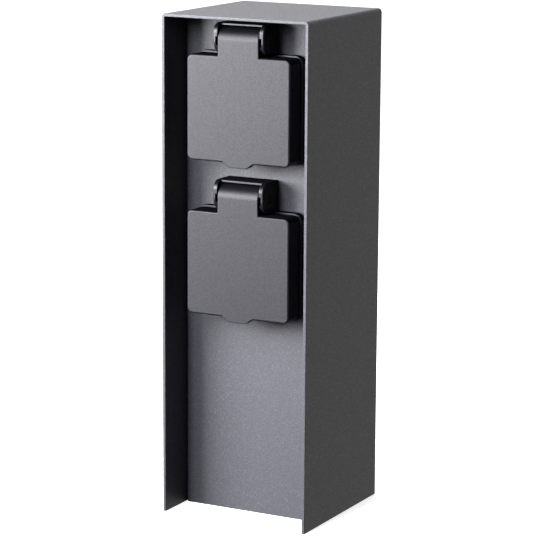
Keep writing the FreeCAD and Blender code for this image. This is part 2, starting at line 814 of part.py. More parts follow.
def make_hinge_block(middle_z):
    """Two ears, the bar between their tops and the wall behind the spring."""
    pin_z = pin_height(middle_z)
    bar_low = pin_z + BAR_UNDERSIDE
    bar_top = bar_low + BAR_THICKNESS
    ear = slab(ear_profile(middle_z, ear_inner_x), point(EAR_THICKNESS, 0, 0))
    groove_half = PIN_R + LEAD_IN_GAP
    groove = box(ear_inner_x, ear_inner_x + LEAD_IN_DEPTH, pin_y - EAR_R, pin_y,
                 pin_z - groove_half, pin_z + groove_half)
    ear = ear.cut(groove)
    bar = box(-ear_inner_x, ear_inner_x, pin_y - BAR_FRONT, block_back, bar_low, bar_top)
    bar = bend_edges(bar, X_AXIS, [(pin_y - BAR_FRONT, bar_top)], BAR_EDGE)
    flange_top = middle_z + flange_height / 2
    wall = box(-ear_inner_x, ear_inner_x, block_back - BLOCK_BACK_WALL, block_back, flange_top, bar_top)
    return [ear, mirrored(ear), bar, wall]


def make_socket_frame(middle_z):
    """One moulding: flange, hinge block, collar, plug well with its floor, and the tube behind it."""
    steps = rounded_rectangle(flange_width / 2, flange_height / 2, FLANGE_CORNER, flange_front, middle_z)
    flange = slab(steps, point(0, flange_back - flange_front, 0))
    rim = [edge for edge in flange.Edges if all(abs(v.Y - flange_front) < 1e-6 for v in edge.Vertexes)]
    flange = flange.makeChamfer(FLANGE_EDGE, rim)
    collar = deep(collar_r, 0, middle_z, rim_y, tube_back)
    body = fuse([flange, collar] + make_hinge_block(middle_z))
    tools = [
        deep(WELL_R, 0, middle_z, rim_y, floor_front),
        deep(tube_inner_r, 0, middle_z, floor_back, tube_back),
    ]
    pin_z = pin_height(middle_z)
    tools.append(across(PIN_R + PIN_EAR_GAP, pin_y, pin_z, -ear_outer_x, ear_outer_x))
    for side in (-1, 1):
        x = side * PIN_SPACING / 2
        tools.append(deep(PIN_HOLE_R, x, middle_z, floor_front, floor_back))
        tools.append(strap_slot(middle_z, side))
    for x, z in flange_screw_places(middle_z):
        tools += countersink(x, flange_front, z, 1, flange_back - flange_front)
    for x in terminal_xs:
        tools.append(wire_notch(middle_z, x))
    body = cut(body, tools)
    bosses = [make_boss(x, z) for x, z in cover_screw_places(middle_z)]
    body = fuse([body] + bosses)
    return cut(body, [boss_bore(x, z) for x, z in cover_screw_places(middle_z)])


def strap_slot(middle_z, side):
    """The slot in the well's floor for one leg of the earth strap."""
    half = STRAP_WIDTH / 2 + SLOT_GAP
    low = middle_z + side * (STRAP_LEG_AT - SLOT_GAP)
    high = middle_z + side * (STRAP_LEG_AT + STRAP_SHEET + SLOT_GAP)
    return box(-half, half, floor_front, floor_back, min(low, high), max(low, high))


def wire_notch(middle_z, x):
    """A slot across the tube's wall above and below, open to the back, for the wires of one terminal."""
    half = wire_hole_r + POCKET_GAP
    return box(x - half, x + half, wire_y - wire_hole_r - POCKET_GAP, tube_back,
               middle_z - collar_r, middle_z + collar_r)


def make_boss(x, z):
    """A screw boss behind the well's floor."""
    return deep(BOSS_R, x, z, floor_back - WELL_FLOOR / 2, floor_back + BOSS_LENGTH)


def boss_bore(x, z):
    """The bore of a screw boss."""
    return deep(COVER_SCREW_R + THREAD_GAP, x, z, floor_back - WELL_FLOOR / 4, floor_back + BOSS_LENGTH)


def make_flange_gasket(middle_z):
    """The flat seal between flange and panel."""
    steps = rounded_rectangle(flange_width / 2 - GASKET_INSET, flange_height / 2 - GASKET_INSET,
                              FLANGE_CORNER - GASKET_INSET, flange_back, middle_z)
    sheet = slab(steps, point(0, GASKET, 0))
    tools = [deep(cutout_r, 0, middle_z, flange_back, panel_front)]
    for x, z in flange_screw_places(middle_z):
        tools.append(deep(screw_hole_r, x, z, flange_back, panel_front))
    return cut(sheet, tools)


def make_flange_screws(middle_z):
    """The four corner screws."""
    tip = panel_back + HEX_NUT_HEIGHT + FLANGE_SCREW_TAIL
    length = tip - flange_front
    places = flange_screw_places(middle_z)
    return Part.makeCompound([screw_countersunk(x, flange_front, z, length) for x, z in places])


def make_flange_nuts(middle_z):
    """The four nuts behind the panel."""
    nuts = []
    for x, z in flange_screw_places(middle_z):
        near = point(x, panel_back, z)
        far = point(x, panel_back + HEX_NUT_HEIGHT, z)
        nuts.append(hexagon(HEX_NUT_AF, near, far).cut(rod(SCREW_R + THREAD_GAP, near, far)))
    return Part.makeCompound(nuts)


def make_contact_carrier(middle_z):
    """The insulating body that holds the contacts, with pockets open to the back."""
    body = deep(carrier_r, 0, middle_z, floor_back, carrier_back)
    front_wall = floor_back + CARRIER_FRONT_WALL
    pocket_half = max(SLEEVE_R, TERMINAL_HALF_HEIGHT) + POCKET_GAP
    inner_x = PIN_SPACING / 2 - SLEEVE_R - POCKET_GAP
    outer_x = TERMINAL_X + TERMINAL_HALF_WIDTH + POCKET_GAP
    pocket = box(inner_x, outer_x, front_wall, carrier_back, middle_z - pocket_half, middle_z + pocket_half)
    earth_half = STRAP_WIDTH / 2 + POCKET_GAP
    strap_height = STRAP_LEG_AT + STRAP_SHEET + POCKET_GAP
    groove = box(-earth_half, earth_half, floor_back, floor_back + STRAP_SHEET + POCKET_GAP,
                 middle_z - strap_height, middle_z + strap_height)
    earth_height = TERMINAL_HALF_HEIGHT + POCKET_GAP
    earth_pocket = box(-earth_half, earth_half, floor_back, carrier_back,
                       middle_z - earth_height, middle_z + earth_height)
    tools = [pocket, mirrored(pocket), groove, earth_pocket]
    for side in (-1, 1):
        x = side * PIN_SPACING / 2
        tools.append(deep(PIN_HOLE_R, x, middle_z, floor_back, front_wall))
    for x in terminal_xs:
        tools.append(wire_notch(middle_z, x))
    for x, z in cover_screw_places(middle_z):
        boss_end = floor_back + BOSS_LENGTH + POCKET_GAP
        tools.append(deep(BOSS_R + POCKET_GAP, x, z, floor_back, boss_end))
        tools.append(deep(screw_hole_r, x, z, boss_end, carrier_back))
    return cut(body, tools)


def make_contact(middle_z, side):
    """A slit brass sleeve for the plug pin and the terminal beside it."""
    x = side * PIN_SPACING / 2
    start = floor_back + CARRIER_FRONT_WALL
    sleeve = deep(SLEEVE_R, x, middle_z, start, carrier_back)
    terminal = terminal_block_solid(middle_z, side * TERMINAL_X, floor_back + TERMINAL_FRONT)
    tab_inner, tab_outer = sorted((x + side * SLEEVE_BORE_R, side * TERMINAL_X))
    tab = box(tab_inner, tab_outer, floor_back + TERMINAL_FRONT, floor_back + TERMINAL_BACK,
              middle_z - TAB_WIDTH / 2, middle_z + TAB_WIDTH / 2)
    body = fuse([sleeve, terminal, tab])
    tools = [deep(SLEEVE_BORE_R, x, middle_z, start, carrier_back)]
    tools += terminal_bores(middle_z, side * TERMINAL_X)
    slit_end = floor_back + TERMINAL_FRONT
    tools.append(box(x - SLEEVE_SLIT / 2, x + SLEEVE_SLIT / 2, start, slit_end,
                     middle_z - SLEEVE_R, middle_z + SLEEVE_R))
    return cut(body, tools)


def terminal_block_solid(middle_z, x, front):
    """The brass block that takes a wire from above and one from below."""
    return box(x - TERMINAL_HALF_WIDTH, x + TERMINAL_HALF_WIDTH, front, floor_back + TERMINAL_BACK,
               middle_z - TERMINAL_HALF_HEIGHT, middle_z + TERMINAL_HALF_HEIGHT)


def terminal_bores(middle_z, x):
    """The wire hole and the threaded screw hole of a terminal."""
    height = TERMINAL_HALF_HEIGHT
    return [
        upright(wire_hole_r, x, wire_y, middle_z - height, middle_z + height),
        deep(SCREW_R + THREAD_GAP, x, middle_z, wire_y, floor_back + TERMINAL_BACK),
    ]


def make_earth_strap(middle_z):
    """A strip behind the floor whose two legs come forward as side springs, and its terminal."""
    half = STRAP_WIDTH / 2
    far = STRAP_LEG_AT + STRAP_SHEET
    strip = box(-half, half, floor_back, floor_back + STRAP_SHEET, middle_z - far, middle_z + far)
    legs = [strap_leg(middle_z, side) for side in (-1, 1)]
    terminal = terminal_block_solid(middle_z, 0, floor_back)
    return cut(fuse([strip, terminal] + legs), terminal_bores(middle_z, 0))


def strap_leg(middle_z, side):
    """One side spring: straight through the floor, then a bow towards the plug and back to the wall."""
    half = STRAP_WIDTH / 2

    def at(y, off):
        return point(-half, y, middle_z + side * off)

    outer = STRAP_LEG_AT + STRAP_SHEET
    inner = STRAP_LEG_AT
    tip_y = floor_front - STRAP_REACH
    bow_start = floor_front - STRAP_STRAIGHT
    bow_middle = (bow_start + tip_y) / 2
    steps = [
        (at(floor_back + STRAP_SHEET, inner),),
        (at(floor_back + STRAP_SHEET, outer),),
        (at(bow_start, outer),),
        (at(bow_middle, outer - STRAP_BULGE), at(tip_y, outer)),
        (at(tip_y, inner),),
        (at(bow_middle, inner - STRAP_BULGE), at(bow_start, inner)),
    ]
    return slab(steps, point(STRAP_WIDTH, 0, 0))


def make_terminal_screws(middle_z):
    """The three screws that press the wires in the terminals."""
    screws = []
    seat = floor_back + TERMINAL_BACK
    for x in terminal_xs:
        head = deep(PAN_HEAD_R, x, middle_z, seat, seat + PAN_HEAD_HEIGHT)
        shank = deep(SCREW_R, x, middle_z, wire_y + WIRE_R + CLAMP_GAP, seat)
        screws.append(fuse([head, shank]))
    return Part.makeCompound(screws)


def make_rear_cover(middle_z):
    """The disc that closes the tube, with driver holes over the terminal screws."""
    disc = deep(carrier_r, 0, middle_z, carrier_back, tube_back)
    tools = []
    for x in terminal_xs:
        tools.append(deep(DRIVER_HOLE_R, x, middle_z, carrier_back, tube_back))
    for x, z in cover_screw_places(middle_z):
        tools.append(deep(screw_hole_r, x, z, carrier_back, tube_back))
    return cut(disc, tools)


def make_cover_screws(middle_z):
    """The two long screws through cover and carrier into the frame's bosses."""
    screws = []
    for x, z in cover_screw_places(middle_z):
        head = deep(PAN_HEAD_R, x, z, tube_back, tube_back + PAN_HEAD_HEIGHT)
        shank = deep(COVER_SCREW_R, x, z, floor_back, tube_back)
        screws.append(fuse([head, shank]))
    return Part.makeCompound(screws)


# Lids

def lid_outline(middle_z, y):
    """Front outline of the lid: rounded corners and a small pull lip below."""
    half_w = LID_WIDTH / 2
    low = middle_z - LID_HEIGHT / 2
    steps = rounded_rectangle(half_w, LID_HEIGHT / 2, LID_CORNER, y, middle_z)
    half_run = PULL_SLOPE / 2
    half_drop = PULL_DROP / 2
    radius = (half_run ** 2 + half_drop ** 2) / (2 * half_drop)
    bend = math.atan2(half_run, radius - half_drop) / 2
    sideways = radius * math.sin(bend)
    down = radius * (1 - math.cos(bend))
    right = [
        (point(PULL_HALF_WIDTH, y, low),),
        (point(PULL_HALF_WIDTH - sideways, y, low - down),
         point(PULL_HALF_WIDTH - half_run, y, low - half_drop)),
        (point(PULL_HALF_WIDTH - PULL_SLOPE + sideways, y, low - PULL_DROP + down),
         point(PULL_HALF_WIDTH - PULL_SLOPE, y, low - PULL_DROP)),
    ]
    left = [
        (point(PULL_SLOPE - PULL_HALF_WIDTH, y, low - PULL_DROP),),
        (point(PULL_SLOPE - PULL_HALF_WIDTH - sideways, y, low - PULL_DROP + down),
         point(half_run - PULL_HALF_WIDTH, y, low - half_drop)),
        (point(sideways - PULL_HALF_WIDTH, y, low - down), point(-PULL_HALF_WIDTH, y, low)),
    ]
    return steps[:-2] + right + left + steps[-2:]


def make_tongue(middle_z):
    """The upright on the lid's top edge that curls over and round the hinge pin."""
    pin_z = pin_height(middle_z)
    x = -TONGUE_HALF_WIDTH
    low = middle_z + LID_HEIGHT / 2 - LID_SKIRT
    steps = [
        (point(x, lid_front, low),),
        (point(x, lid_front, pin_z),),
        (point(x, pin_y, pin_z + knuckle_r), point(x, pin_y + knuckle_r, pin_z)),
        (point(x, pin_y + knuckle_r * math.sqrt(0.5), pin_z - knuckle_r * math.sqrt(0.5)),
         point(x, pin_y, pin_z - knuckle_r)),
        (point(x, pin_y, low),),
    ]
    return slab(steps, X_AXIS * (2 * TONGUE_HALF_WIDTH))


def make_lid(middle_z):
    """A shallow cap with a tongue that curls round the hinge pin."""
    pin_z = pin_height(middle_z)
    shell = slab(rounded_rectangle(LID_WIDTH / 2, LID_HEIGHT / 2, LID_CORNER, lid_front, middle_z),
                 point(0, lid_back - lid_front, 0))
    pull = slab(lid_outline(middle_z, lid_front), point(0, PULL_THICKNESS, 0))
    hollow = slab(rounded_rectangle(LID_WIDTH / 2 - LID_SKIRT, LID_HEIGHT / 2 - LID_SKIRT,
                                    LID_CORNER - LID_SKIRT, lid_inside, middle_z),
                  point(0, lid_back - lid_inside, 0))
    body = fuse([shell, pull])
    rim = [edge for edge in body.Edges
           if all(abs(vertex.Y - lid_front) < 1e-6 for vertex in edge.Vertexes)]
    body = body.makeFillet(LID_EDGE, rim)
    body = fuse([body, make_tongue(middle_z)])
    half = SPRING_POCKET_HALF
    tools = [
        hollow,
        across(PIN_R + PIN_KNUCKLE_GAP, pin_y, pin_z, -TONGUE_HALF_WIDTH, TONGUE_HALF_WIDTH),
        across(SPRING_POCKET_R, pin_y, pin_z, -half, half),
        box(-half, half, pin_y, pin_y + knuckle_r, pin_z - knuckle_r, pin_z + knuckle_r),
    ]
    return cut(body, tools)


def make_lid_seal(middle_z):
    """The foam ring on the lid's inner face, over the collar's rim."""
    end = rim_y - SEAL_GAP
    outer = deep(collar_r, 0, middle_z, lid_inside, end)
    return outer.cut(deep(SEAL_INNER_R, 0, middle_z, lid_inside, end))


def make_hinge_pin(middle_z):
    """The steel pin through both ears and the lid's knuckle."""
    pin_z = pin_height(middle_z)
    end_x = ear_outer_x - PIN_END_RECESS
    return across(PIN_R, pin_y, pin_z, -end_x, end_x)


def make_lid_spring(middle_z):
    """A torsion spring round the pin: one leg on the flange, the other behind the tongue."""
    pin_z = pin_height(middle_z)
    length = SPRING_PITCH * SPRING_TURNS
    turn = math.radians(SPRING_LEG_ANGLE)

    def around(angle, x, radius):
        return point(x, pin_y - radius * math.cos(angle), pin_z + radius * math.sin(angle))

    steps = SPRING_TURNS * 4
    sweep = SPRING_TURNS * 2 * math.pi - turn + math.pi / 2
    edges = []
    rest_z = middle_z + flange_height / 2 + SPRING_WIRE_R + THREAD_GAP
    start = around(turn, -length / 2, SPRING_R)
    drop = (start.z - rest_z) / math.cos(turn - math.pi)
    foot = start + point(0, math.sin(turn), math.cos(turn)) * drop
    edges.append(Part.LineSegment(foot, start).toShape())
    for number in range(steps):
        angles = [turn - sweep * (number + share) / steps for share in (0, 0.5, 1)]
        xs = [-length / 2 + length * (number + share) / steps for share in (0, 0.5, 1)]
        spots = [around(angle, x, SPRING_R) for angle, x in zip(angles, xs)]
        edges.append(Part.Arc(*spots).toShape())
    last = around(turn - sweep, length / 2, SPRING_R)
    reach = math.sqrt(SPRING_POCKET_R ** 2 - SPRING_R ** 2) - SPRING_WIRE_R - PIN_KNUCKLE_GAP
    edges.append(Part.LineSegment(last, last - Y_AXIS * reach).toShape())
    path = Part.Wire(edges)
    ring = Part.Wire(Part.makeCircle(SPRING_WIRE_R, foot, start - foot))
    return path.makePipeShell([ring], True, False)


# Wires, from the terminal block to the lower socket and on to the upper one

def feed_route(pole_x, terminal_x):
    """From a pole of the block up into a terminal of the lower socket."""
    tube_low = lower_socket_z - collar_r
    straight = (tube_low - block_top) * FEED_SHARE
    clear_z = block_top + straight
    enter_z = tube_low - straight
    return [
        point(pole_x, pole_y, block_middle_z),
        point(pole_x, pole_y, clear_z),
        point(terminal_x, wire_y, enter_z),
        point(terminal_x, wire_y, lower_socket_z - WIRE_END_GAP),
    ]


def link_route(terminal_x):
    """From a terminal of the lower socket to the same one of the upper socket, with a slight bow."""
    low = lower_socket_z + collar_r + WIRE_R
    high = upper_socket_z - collar_r - WIRE_R
    bow = point(terminal_x, wire_y + 2 * WIRE_BEND, (low + high) / 2)
    return [
        point(terminal_x, wire_y, lower_socket_z + WIRE_END_GAP),
        point(terminal_x, wire_y, low),
        bow,
        point(terminal_x, wire_y, high),
        point(terminal_x, wire_y, upper_socket_z - WIRE_END_GAP),
    ]


def earth_route():
    """From the middle pole's lower end to the lug on the stud."""
    barrel_x = panel_inner_x - LUG_BARREL_R
    low_z = (BLOCK_BOTTOM + shelf_underside + GLAND_TOP_THREAD) / 2
    return [
        point(0, pole_y, block_middle_z - WIRE_END_GAP * 2),
        point(0, pole_y, low_z),
        point(barrel_x - WIRE_BEND, STUD_Y, low_z),
        point(barrel_x, STUD_Y, STUD_Z - LUG_DROP - WIRE_CLEARANCE),
        point(barrel_x, STUD_Y, STUD_Z - LUG_DROP + LUG_BARREL_LENGTH / 2),
    ]


def socket_pieces(name, middle_z):
    """Every piece of one socket, by node name."""
    return {
        name + "_socket_frame": make_socket_frame(middle_z),
        name + "_flange_gasket": make_flange_gasket(middle_z),
        name + "_flange_screws": make_flange_screws(middle_z),
        name + "_flange_nuts": make_flange_nuts(middle_z),
        name + "_contact_carrier": make_contact_carrier(middle_z),
        name + "_line_contact": make_contact(middle_z, -1),
        name + "_neutral_contact": make_contact(middle_z, 1),
        name + "_earth_strap": make_earth_strap(middle_z),
        name + "_terminal_screws": make_terminal_screws(middle_z),
        name + "_rear_cover": make_rear_cover(middle_z),
        name + "_cover_screws": make_cover_screws(middle_z),
        name + "_lid": make_lid(middle_z),
        name + "_lid_seal": make_lid_seal(middle_z),
        name + "_hinge_pin": make_hinge_pin(middle_z),
        name + "_lid_spring": make_lid_spring(middle_z),
    }


def shell_pieces():
    """The column, its base and the cable inlet, by node name."""
    return {
        "hood": make_hood(),
        "front_panel": make_front_panel(),
        "back_panel": make_back_panel(),
        "back_screws": make_back_screws(),
        "clinch_nuts": make_clinch_nuts(),
        "base_plate": make_base_plate(),
        "cable_grommet": make_cable_grommet(),
        "terminal_bracket": make_bracket(),
        "bracket_screws": make_bracket_screws(),
        "gland_body": make_gland_body(),
        "gland_dome_nut": make_gland_cap(),
        "gland_bush": make_gland_bush(),
        "gland_locknut": make_gland_locknut(),
        "terminal_block": make_terminal_block(),
        "terminal_clamps": make_terminal_clamps(),
        "clamp_screws": make_clamp_screws(),
        "block_screws": make_block_screws(),
        "earth_stud": make_earth_stud(),
        "earth_lug": make_earth_lug(),
        "earth_nut": make_earth_nut(),
    }


def wire_pieces():
    """The inner wires, by node name."""
    pieces = {"earth_stud_wire": wire_tube(earth_route())}
    conductors = zip(("line", "earth", "neutral"), pole_xs, terminal_xs)
    for conductor, pole_x, terminal_x in conductors:
        pieces["feed_" + conductor + "_wire"] = wire_tube(feed_route(pole_x, terminal_x))
        pieces["link_" + conductor + "_wire"] = wire_tube(link_route(terminal_x))
    return pieces


def main():
    """Make every piece and write one file for each."""
    pieces = shell_pieces()
    for name, middle_z in zip(("lower", "upper"), socket_middles()):
        pieces.update(socket_pieces(name, middle_z))
    pieces.update(wire_pieces())
    for name, shape in pieces.items():
        shape.exportStep("parts/" + name + ".step")
        print(name, "solids", len(shape.Solids), "valid", shape.isValid(), "volume", round(shape.Volume, 2))


main()
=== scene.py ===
import logging
import math
from dataclasses import dataclass
from enum import Enum
from typing import Callable, Sequence

import bmesh
import bpy
from mathutils import Matrix, Vector


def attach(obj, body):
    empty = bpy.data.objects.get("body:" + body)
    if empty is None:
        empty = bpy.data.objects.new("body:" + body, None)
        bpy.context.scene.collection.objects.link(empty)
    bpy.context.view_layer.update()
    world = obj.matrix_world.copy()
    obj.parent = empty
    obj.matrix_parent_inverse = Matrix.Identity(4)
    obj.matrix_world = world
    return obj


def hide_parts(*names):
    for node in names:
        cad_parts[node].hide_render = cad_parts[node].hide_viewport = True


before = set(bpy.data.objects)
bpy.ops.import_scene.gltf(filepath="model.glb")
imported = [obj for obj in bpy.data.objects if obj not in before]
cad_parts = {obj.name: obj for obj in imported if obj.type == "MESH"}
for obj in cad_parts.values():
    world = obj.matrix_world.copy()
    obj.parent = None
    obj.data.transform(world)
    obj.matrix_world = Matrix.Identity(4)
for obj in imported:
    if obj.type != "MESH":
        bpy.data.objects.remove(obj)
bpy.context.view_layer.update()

MM = 0.001
log = logging.getLogger("garden_socket")

Point2 = tuple[float, float]
Point3 = tuple[float, float, float]
Colour = tuple[float, float, float]
Section = tuple[list[Point2], float]
Socket = bpy.types.NodeSocket


class Axis(Enum):
    """The ways along which outlines are drawn out and round which profiles are turned."""

    X = "x"
    Y = "y"

    def place(self, spot: Point2, along: float) -> Vector:
        """Puts a point of an outline in the column's frame.

        Args:
            spot: The two coordinates across the axis, in the order X, Y, Z.
            along: The coordinate on the axis.

        Returns:
            The point, in the unit of the arguments.
        """
        first, second = spot
        if self is Axis.X:
            return Vector((along, first, second))
        return Vector((first, along, second))


class Level(Enum):
    """The two outlets, with the height of the middle of each well in millimetres."""

    LOWER = 128.6
    UPPER = 205.0

    @property
    def prefix(self) -> str:
        """First part of the names of this outlet's nodes."""
        return self.name.lower()


# Outlines

def arc(centre: Point2, radius: float, first: float, last: float, steps: int) -> list[Point2]:
    """Points along an arc.

    Args:
        centre: Middle of the arc.
        radius: Its radius.
        first: Angle of the first point, in degrees.
        last: Angle of the last point, in degrees.
        steps: Number of chords.

    Returns:
        The points, both ends included.
    """
    points = []
    for number in range(steps + 1):
        angle = math.radians(first + (last - first) * number / steps)
        points.append((centre[0] + radius * math.cos(angle), centre[1] + radius * math.sin(angle)))
    return points


def circle(centre: Point2, radius: float, steps: int) -> list[Point2]:
    """A closed round outline."""
    return arc(centre, radius, 0.0, 360.0, steps)[:-1]


def rectangle(low: Point2, high: Point2) -> list[Point2]:
    """A closed outline between two corners."""
    return [low, (high[0], low[1]), high, (low[0], high[1])]


def rounded_rectangle(half: Point2, radius: float, middle: Point2, steps: int = 8) -> list[Point2]:
    """A closed outline with four round corners, counter-clockwise from the right side.

    Args:
        half: Half its width and half its height.
        radius: Radius of the corners.
        middle: Its middle.
        steps: Chords in each corner.

    Returns:
        The outline's points.
    """
    points: list[Point2] = []
    for turn, (side, level) in enumerate(((1, 1), (-1, 1), (-1, -1), (1, -1))):
        corner = (middle[0] + side * (half[0] - radius), middle[1] + level * (half[1] - radius))
        points += arc(corner, radius, 90.0 * turn, 90.0 * (turn + 1), steps)
    return points


def rounding(outline: Callable[[float], list[Point2]], end: float, way: float, radius: float,
             steps: int = 5) -> list[Section]:
    """Sections of a bar across the rounded edge at one of its ends, from the end inwards.

    Args:
        outline: Gives the bar's outline, moved inwards by the distance it is given.
        end: Where the bar ends on its axis.
        way: 1 if the bar runs up the axis from there, -1 if it runs down.
        radius: Radius of the edge.
        steps: Chords across the rounding.

    Returns:
        Each section's outline and its place on the axis.
    """
    sections = []
    for number in range(steps + 1):
        angle = math.pi / 2 * number / steps
        inset = radius * (1.0 - math.sin(angle))
        sections.append((outline(inset), end + way * radius * (1.0 - math.cos(angle))))
    return sections


# Mesh work, with lengths in millimetres and angles in degrees

SAME_SPOT = 1e-5
WELD = 0.002
FLAT_ANGLE = 0.2
EDGE_ANGLE = 32.0
EDGE_FACES = 3
SMOOTH_ANGLE = 34.0
LARGE_FACE_WEIGHT = 60


class Overlap(Enum):
    """What happens where other pieces overlap a piece."""

    JOIN = "UNION"
    CUT = "DIFFERENCE"


class Workpiece:
    """A closed mesh in the making, which is joined, cut and rounded before it is given a finish."""

    def __init__(self, shape: bmesh.types.BMesh) -> None:
        """Takes over a mesh given in millimetres.

        Args:
            shape: The closed mesh. It is freed here.
        """
        bmesh.ops.recalc_face_normals(shape, faces=shape.faces)
        bmesh.ops.scale(shape, vec=Vector((MM, MM, MM)), verts=shape.verts)
        mesh = bpy.data.meshes.new("workpiece")
        shape.to_mesh(mesh)
        shape.free()
        self.thing = bpy.data.objects.new("workpiece", mesh)
        bpy.context.scene.collection.objects.link(self.thing)

    @classmethod
    def prism(cls, outline: Sequence[Point2], axis: Axis, start: float, end: float) -> "Workpiece":
        """Draws an outline out along an axis.

        Args:
            outline: A closed outline, in millimetres.
            axis: The way it is drawn out.
            start: Where it starts on the axis.
            end: Where it ends.

        Returns:
            The closed workpiece.
        """
        return cls.lofted([(list(outline), start), (list(outline), end)], axis)

    @classmethod
    def lofted(cls, sections: Sequence[Section], axis: Axis) -> "Workpiece":
        """Joins sections with equally many points.

        Args:
            sections: Outlines and their places on the axis, from one end to the other.
            axis: The way that the sections follow each other.

        Returns:
            The closed workpiece.
        """
        shape = bmesh.new()
        rings = [[shape.verts.new(axis.place(spot, along)) for spot in outline]
                 for outline, along in sections]
        shape.faces.new(rings[0])
        shape.faces.new(list(reversed(rings[-1])))
        for near, far in zip(rings, rings[1:]):
            for number, corner in enumerate(near):
                following = (number + 1) % len(near)
                shape.faces.new((corner, near[following], far[following], far[number]))
        bmesh.ops.remove_doubles(shape, verts=shape.verts, dist=SAME_SPOT)
        return cls(shape)

    @classmethod
    def rounded(cls, outline: Callable[[float], list[Point2]], axis: Axis, ends: Point2,
                edges: Point2) -> "Workpiece":
        """Draws an outline out along an axis, with a rounded edge round each end.

        Args:
            outline: Gives the outline, moved inwards by the distance it is given.
            axis: The way it is drawn out.
            ends: Where it starts and where it ends on the axis.
            edges: Radius of the edge at the start and at the end.

        Returns:
            The closed workpiece.
        """
        way = math.copysign(1.0, ends[1] - ends[0])
        sections = rounding(outline, ends[0], way, edges[0])
        sections += reversed(rounding(outline, ends[1], -way, edges[1]))
        return cls.lofted(sections, axis)

    @classmethod
    def turned(cls, profile: Sequence[Point2], axis: Axis, middle: Point2, steps: int) -> "Workpiece":
        """Turns a profile round an axis.

        Args:
            profile: Pairs of radius and place along the axis, from one end to the other.
            axis: The way that the axis of rotation runs.
            middle: Where that axis lies.
            steps: Number of faces round it.

        Returns:
            The closed workpiece.
        """
        shape = bmesh.new()
        rings = []
        for radius, along in profile:
            spots = [middle] if radius == 0 else circle(middle, radius, steps)
            rings.append([shape.verts.new(axis.place(spot, along)) for spot in spots])
        for low, high in zip(rings, rings[1:]):
            for number in range(steps):
                following = (number + 1) % steps
                corners = [low[number % len(low)], low[following % len(low)],
                           high[following % len(high)], high[number % len(high)]]
                unique = list(dict.fromkeys(corners))
                if len(unique) > 2:
                    shape.faces.new(unique)
        if profile[0] != profile[-1]:
            for ring in (rings[0], rings[-1]):
                if len(ring) > 1:
                    shape.faces.new(ring)
        bmesh.ops.remove_doubles(shape, verts=shape.verts, dist=SAME_SPOT)
        return cls(shape)

    def _combine(self, others: Sequence["Workpiece"], overlap: Overlap) -> "Workpiece":
        """Runs one Boolean for each of the other workpieces and removes them.

        Args:
            others: The other workpieces.
            overlap: What happens where they overlap this one.

        Returns:
            This piece.
        """
        for other in others:
            step = self.thing.modifiers.new("step", "BOOLEAN")
            step.operation = overlap.value
            step.solver = "EXACT"
            step.object = other.thing
        self._bake()
        for other in others:
            bpy.data.objects.remove(other.thing)
        return self

    def _bake(self) -> None:
        """Turns the modifiers into plain mesh."""
        graph = bpy.context.evaluated_depsgraph_get()
        graph.update()
        mesh = bpy.data.meshes.new_from_object(self.thing.evaluated_get(graph))
        self.thing.modifiers.clear()
        self.thing.data = mesh

    def join(self, *others: "Workpiece") -> "Workpiece":
        """Makes one closed piece of this and the others."""
        return self._combine(others, Overlap.JOIN)

    def cut(self, *others: "Workpiece") -> "Workpiece":
        """Takes the others away from this piece."""
        return self._combine(others, Overlap.CUT)

    def soften(self, width: float) -> "Workpiece":
        """Rounds every sharp edge.

        Args:
            width: Size of the rounding.

        Returns:
            This piece.
        """
        merged = bmesh.new()
        merged.from_mesh(self.thing.data)
        bmesh.ops.remove_doubles(merged, verts=merged.verts, dist=WELD * MM)
        bmesh.ops.dissolve_degenerate(merged, edges=merged.edges, dist=WELD * MM)
        bmesh.ops.dissolve_limit(merged, angle_limit=math.radians(FLAT_ANGLE), verts=merged.verts,
                                 edges=merged.edges)
        merged.to_mesh(self.thing.data)
        merged.free()
        step = self.thing.modifiers.new("rounding", "BEVEL")
        step.width = width * MM
        step.segments = EDGE_FACES
        step.limit_method = "ANGLE"
        step.angle_limit = math.radians(EDGE_ANGLE)
        step.use_clamp_overlap = False
        step.miter_outer = "MITER_ARC"
        self._bake()
        return self

    def spread(self, moves: Sequence[Vector]) -> "Workpiece":
        """Repeats the piece, so that identical fasteners are one object.

        Args:
            moves: How far each copy is moved, in millimetres.

        Returns:
            This piece, now with all the copies.
        """
        source = self.thing.data
        shape = bmesh.new()
        for move in moves:
            count = len(shape.verts)
            shape.from_mesh(source)
            shape.verts.ensure_lookup_table()
            bmesh.ops.translate(shape, vec=move * MM, verts=shape.verts[count:])
        mesh = bpy.data.meshes.new("workpiece")
        shape.to_mesh(mesh)
        shape.free()
        self.thing.data = mesh
        return self

    def hand_over(self, name: str, body: str, finish: "Finish", slot: str, node: str) -> None:
        """Names the piece, dresses it and fixes it to its body.

        Args:
            name: Name of the piece.
            body: Body that it rides on.
            finish: Its finish.
            slot: The record's material slot; not used.
            node: CAD node that it stands for.
        """
        self.thing.name = name
        mesh = self.thing.data
        mesh.name = name
        mesh.materials.clear()
        mesh.materials.append(finish.material())
        smooth_angle = math.radians(SMOOTH_ANGLE)
        shape = bmesh.new()
        shape.from_mesh(mesh)
        for face in shape.faces:
            face.smooth = True
            face.material_index = 0
        for edge in shape.edges:
            edge.smooth = len(edge.link_faces) == 2 and edge.calc_face_angle() < smooth_angle
        shape.to_mesh(mesh)
        shape.free()
        weights = self.thing.modifiers.new("flat faces", "WEIGHTED_NORMAL")
        weights.keep_sharp = True
        weights.weight = LARGE_FACE_WEIGHT
        self._bake()
        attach(self.thing, body)
        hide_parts(node)
        log.info("%s: %d faces on %s", name, len(self.thing.data.polygons), body)


# Finishes

class Course(Enum):
    """How a factor runs between its two ends."""

    STRAIGHT = "LINEAR"
    SMOOTH = "SMOOTHERSTEP"


